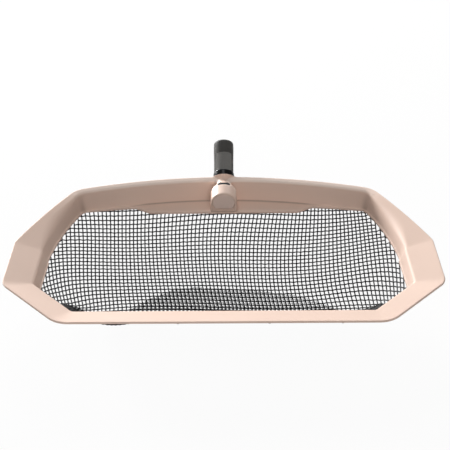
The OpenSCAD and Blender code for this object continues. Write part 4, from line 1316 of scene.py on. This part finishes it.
def weave(columns, drop=0.0, to_hem=True):
    """The threads of both families, each a list of points, the columns first."""
    knots = {number: crossings(line) for number, line in columns.items()}
    along, over = [], []
    for number, line in columns.items():
        ends = [np.array([a[k] for a in line[:3]]) for k in (0, -1)]
        between_ends = [p + woven(number, row) for row, p in sorted(knots[number].items())
                        if min(np.linalg.norm(p - e) for e in ends) > KNOT_CLEAR]
        along.append([ends[0], *between_ends, ends[1]])
    rows_used = [row for found in knots.values() for row in found]
    for row in range(min(rows_used), max(rows_used) + 1):
        line = []
        for number in sorted(columns) + [None]:
            if number is not None and row in knots[number]:
                line.append(knots[number][row] - woven(number, row))
                continue
            if len(line) > 1:
                over.append(led_on(led_on(line, drop)[::-1], drop)[::-1] if to_hem else line)
            line = []
    return along, over


along, over = weave(columns)
print("threads", len(along), "along and", len(over), "across")

# %% [markdown]
# Geometry Nodes turn the lines into threads: Mesh to Curve, then Curve to Mesh with a small circle as the profile.
# Six sides are enough for a thread that is little wider than a pixel. A node tree is written here as a list of its
# nodes and a list of its links, and the screws will use the same two functions.


# %% Node trees
def geometry_tree(name, inputs, kinds, links):
    """Builds a Geometry Nodes tree; a link is written as node, socket, node, socket."""
    tree = bpy.data.node_groups.new(name, "GeometryNodeTree")
    face = tree.interface
    face.new_socket("Geometry", in_out="INPUT", socket_type="NodeSocketGeometry")
    sockets = {key: face.new_socket(key, in_out="INPUT", socket_type="NodeSocket" + kind).identifier
               for key, kind in inputs.items()}
    face.new_socket("Geometry", in_out="OUTPUT", socket_type="NodeSocketGeometry")
    kinds = {"entry": "NodeGroupInput", "out": "NodeGroupOutput", "real": "GeometryNodeRealizeInstances",
             "paint": "GeometryNodeSetMaterial", **kinds}
    made = {key: tree.nodes.new(kind) for key, kind in kinds.items()}
    for start, output, end, entry in links + [("real", "Geometry", "paint", "Geometry"),
                                              ("entry", "Material", "paint", "Material"),
                                              ("paint", "Geometry", "out", "Geometry")]:
        tree.links.new(made[start].outputs[output], made[end].inputs[entry])
    return tree, sockets, made


def grown(name, points, edges, tree, sockets, **values):
    """A piece that a node tree grows from points and edges, as a plain mesh."""
    mesh = bpy.data.meshes.new(name)
    mesh.from_pydata(points, edges, [])
    piece = put(name, mesh)
    nodes_run = piece.modifiers.new(name, "NODES")
    nodes_run.node_group = tree
    for key, value in values.items():
        nodes_run[sockets[key]] = value
    return baked(piece)

# %% [markdown]
# The thread tree takes a radius, a number of sides and a material. Each piece of thread is grown from plain edges.

# %% Threads
thread_nodes, thread_sockets, made = geometry_tree(
    "threads_along_lines", {"Radius": "Float", "Sides": "Int", "Material": "Material"},
    {"curve": "GeometryNodeMeshToCurve", "sweep": "GeometryNodeCurveToMesh",
     "circle": "GeometryNodeCurvePrimitiveCircle"},
    [("entry", "Geometry", "curve", "Mesh"), ("entry", "Radius", "circle", "Radius"),
     ("entry", "Sides", "circle", "Resolution"), ("curve", "Curve", "sweep", "Curve"),
     ("circle", "Curve", "sweep", "Profile Curve"), ("sweep", "Mesh", "real", "Geometry")])
made["sweep"].inputs["Fill Caps"].default_value = True


def threads_piece(name, lines, radius, sides, material):
    """Sweeps a round thread along each line of points."""
    points, edges = [], []
    for line in lines:
        edges += [(len(points) + k, len(points) + k + 1) for k in range(len(line) - 1)]
        points += [tuple(p) for p in placed(line)]
    piece = grown(name, points, edges, thread_nodes, thread_sockets, Radius=radius / 1000, Sides=sides,
                  Material=material)
    with_bmesh(piece.data, faces_out)
    piece.data.shade_smooth()
    if not len(piece.data.materials):
        piece.data.materials.append(material)
    return piece


def surface_area(kept):
    """Area, in square metres, of the part of the bag's grid that is kept."""
    across_edge = grid[:-1, 1:] - grid[:-1, :-1]
    down_edge = grid[1:, :-1] - grid[:-1, :-1]
    area = np.linalg.norm(np.cross(across_edge, down_edge), axis=2)
    return float(area[kept[:-1, :-1]].sum()) / 1e6


bag_area = surface_area(inside(grid_x, grid_y))
net = threads_piece("net_bag", along + over, THREAD_R, 6, net_yarn)
settle(net, "net_thread", "net")

# %% [markdown]
# At the front of the bag the net is double: a loose fold of finer net lies just under it. It is made like the bag, a
# little lower and half a gap out of step with it, and only inside its own outline.

# %% Fold under the bag
FOLD_DROP, FOLD_END, FOLD_THREAD_R, FINER = 2.2, 318.0, 0.33, 2
fold_x = [128, 150, 175, 195, 250, 301, 326, 346]
fold_y = [309, 297, 287.5, 286, 288, 295, 303, 311]


def in_fold(x, y):
    spots = np.column_stack([x, y, bag_height(x, y)])
    sx, sy = seen(spots)
    top = np.maximum.accumulate(sy)
    return ((sx > fold_x[0]) & (sx < fold_x[-1]) & (top > np.interp(sx, fold_x, fold_y)) & (top < FOLD_END)
            & inside(x, y))


fold_columns = column_lines(in_fold, 0.5, FOLD_DROP, FINER)
fold_along, fold_over = weave(fold_columns, FOLD_DROP, False)
fold_over = [line for line in fold_over if len(line) > 2]
fold = threads_piece("net_fold", fold_along + fold_over, FOLD_THREAD_R, 5, net_yarn)
settle(fold, "net_thread")

# %% [markdown]
# ## Hem and clamping ring
# The net's edge is bound in a woven tape that lies between the frame's underside and the black ring. The tape is
# slightly padded, so its section has round edges. The ring is a moulding with a small radius all round.

# %% Hem and ring
HEM_T, HEM_W, HEM_IN, RING_PLATE = 1.2, 6.0, 0.9, 2.2
HEM_Z = FLOOR_Z - HEM_T
RING_Z = HEM_Z - RING_PLATE
hem_section = [(1.9, 0.02), (1.6, 0.2), (1.45, 0.6), (1.55, 1.0), (1.8, 1.18), (3.4, 1.2), (HEM_W - 0.35, 1.18),
               (HEM_W - 0.1, 1.0), (HEM_W, 0.6), (HEM_W - 0.1, 0.2), (HEM_W - 0.35, 0.02), (3.0, 0.0)]
hem_shape = loft([edge_ring(HEM_IN + out, HEM_Z + up) for out, up in hem_section], True)
hem = dressed("hem", hem_shape, binding, 60, "net_binding", "net_hem")
ring_out, hem_out = LAND_W - 0.2, HEM_IN + HEM_W + 0.4
ring_section = [(2.6, HEM_Z - 0.02), (2.75, HEM_Z - 0.3), (5.2, RING_Z + 0.25), (5.7, RING_Z), (6.8, RING_Z),
                (8.5, RING_Z), (ring_out - 0.6, RING_Z), (ring_out - 0.15, RING_Z + 0.25), (ring_out, RING_Z + 0.7),
                (ring_out, FLOOR_Z - 0.02), (hem_out, FLOOR_Z - 0.02), (hem_out, HEM_Z - 0.02)]
ring_shape = loft([edge_ring(*spot) for spot in ring_section], True)
dressed("clamping_ring", ring_shape, satin_black, 50, "black_plastic", "net_retainer")
edged_copy("hub_bottom_cover", "bottom_cover", satin_black, "black_plastic", 0.3, 32)

# %% [markdown]
# ## Screws
# Every screw is the same small turned shape with a cross pressed into its head. It is drawn once; Geometry Nodes put
# a copy on each of the places that the construction model gives and turn each one a little differently, as a
# screwdriver leaves them.

# %% Screws
HEAD_R, HEAD_H, HEAD_SEAT, SHANK_R = 2.6, 1.15, 1.6, 1.25
screw_nodes, screw_sockets, made = geometry_tree(
    "screws_on_points", {"Screw": "Object", "Seed": "Int", "Material": "Material"},
    {"shape": "GeometryNodeObjectInfo", "copies": "GeometryNodeInstanceOnPoints", "spin": "FunctionNodeRandomValue"},
    [("entry", "Screw", "shape", "Object"), ("entry", "Geometry", "copies", "Points"),
     ("shape", "Geometry", "copies", "Instance"), ("copies", "Instances", "real", "Geometry")])
spin = made["spin"]
spin.data_type = "FLOAT_VECTOR"
spin.inputs[0].default_value, spin.inputs[1].default_value = (0, 0, 0), (0, 0, math.pi)
screw_nodes.links.new(made["entry"].outputs["Seed"], spin.inputs["Seed"])
screw_nodes.links.new(spin.outputs[0], made["copies"].inputs["Rotation"])


def screws_piece(name, node, places, shank, seed):
    """One screw, and a copy of it on each place."""
    profile = [(0, -HEAD_H), (1.75, -HEAD_H), (2.05, -HEAD_H + 0.15), (HEAD_R, -0.12), (HEAD_R, 0), (SHANK_R, 0),
               (SHANK_R, shank - 0.9), (0.5, shank), (0, shank)]
    one = mesh_object("screw", *lathe(profile, 20), steel)
    carve(one, [block(-w, w, -h, h, -HEAD_H - 1, -HEAD_H + 0.9) for w, h in ((1.25, 0.28), (0.28, 1.25))], 30)
    one.data.transform(Matrix.Translation(Vector(ORIGIN) / 1000))
    points = [tuple(p) for p in placed(places + np.array([0, 0, HEAD_SEAT]))]
    piece = grown(name, points, [], screw_nodes, screw_sockets, Screw=one, Seed=seed, Material=steel)
    bpy.data.objects.remove(one)
    smooth_but(piece.data, 30)
    return settle(piece, "steel", node)


screws_piece("ring_screws", "retainer_screws", ring_screws, 9.5, 3)
screws_piece("hub_screws_set", "hub_screws", hub_screws, 12.5, 8)

# %% [markdown]
# ## Springs, ring and button
# The key's coil spring is one wire along a helix, swept like the net's threads.
# The lock button is turned, with a flange that keeps it in the insert. Its leaf spring is a folded strip, and the
# retaining ring is a flat washer; both keep their drawn form, with broken edges.

# %% Small parts
WIRE_R, TURNS, COIL_R = 0.4, 4, STEM_R + 1.6
coil_low, coil_high = SHELF_Z + SHELF_T + WIRE_R + 0.05, KEY_SEAT_Z - WIRE_R - 0.05
turn_angles = np.linspace(0, 2 * math.pi * TURNS, 24 * TURNS + 1)
helix = np.column_stack([COIL_R * np.cos(turn_angles), COIL_R * np.sin(turn_angles) + KEY_Y,
                         np.linspace(coil_low, coil_high, len(turn_angles))])
coil = threads_piece("coil_spring", [helix], WIRE_R, 10, steel)
settle(coil, "steel", "key_spring")
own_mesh(coil)

FLANGE_R, FLANGE_T, BUTTON_DOME, BUTTON_OUT, FIT = 4.2, 1.3, 1.6, 4.5, 0.1
seat = math.sqrt(BORE_R ** 2 - FLANGE_R ** 2) - FLANGE_T - FIT
tip = BODY_R + BUTTON_OUT
button_profile = [(0, seat), (FLANGE_R - 0.15, seat), (FLANGE_R, seat + 0.15), (FLANGE_R, seat + FLANGE_T - 0.15),
                  (FLANGE_R - 0.15, seat + FLANGE_T), (BUTTON_R, seat + FLANGE_T),
                  *dome(BUTTON_R, tip, BUTTON_DOME), (0, tip)]
dressed("button", through_wall(lathe(button_profile, 64)), steel, 40, "steel", "lock_button", body="button")
leaf = edged_copy("lock_clip", "leaf_spring", steel, "steel", 0.12, 40)
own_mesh(leaf)
edged_copy("key_ring", "retaining_ring", steel, "steel", 0.12, 40, body="key")
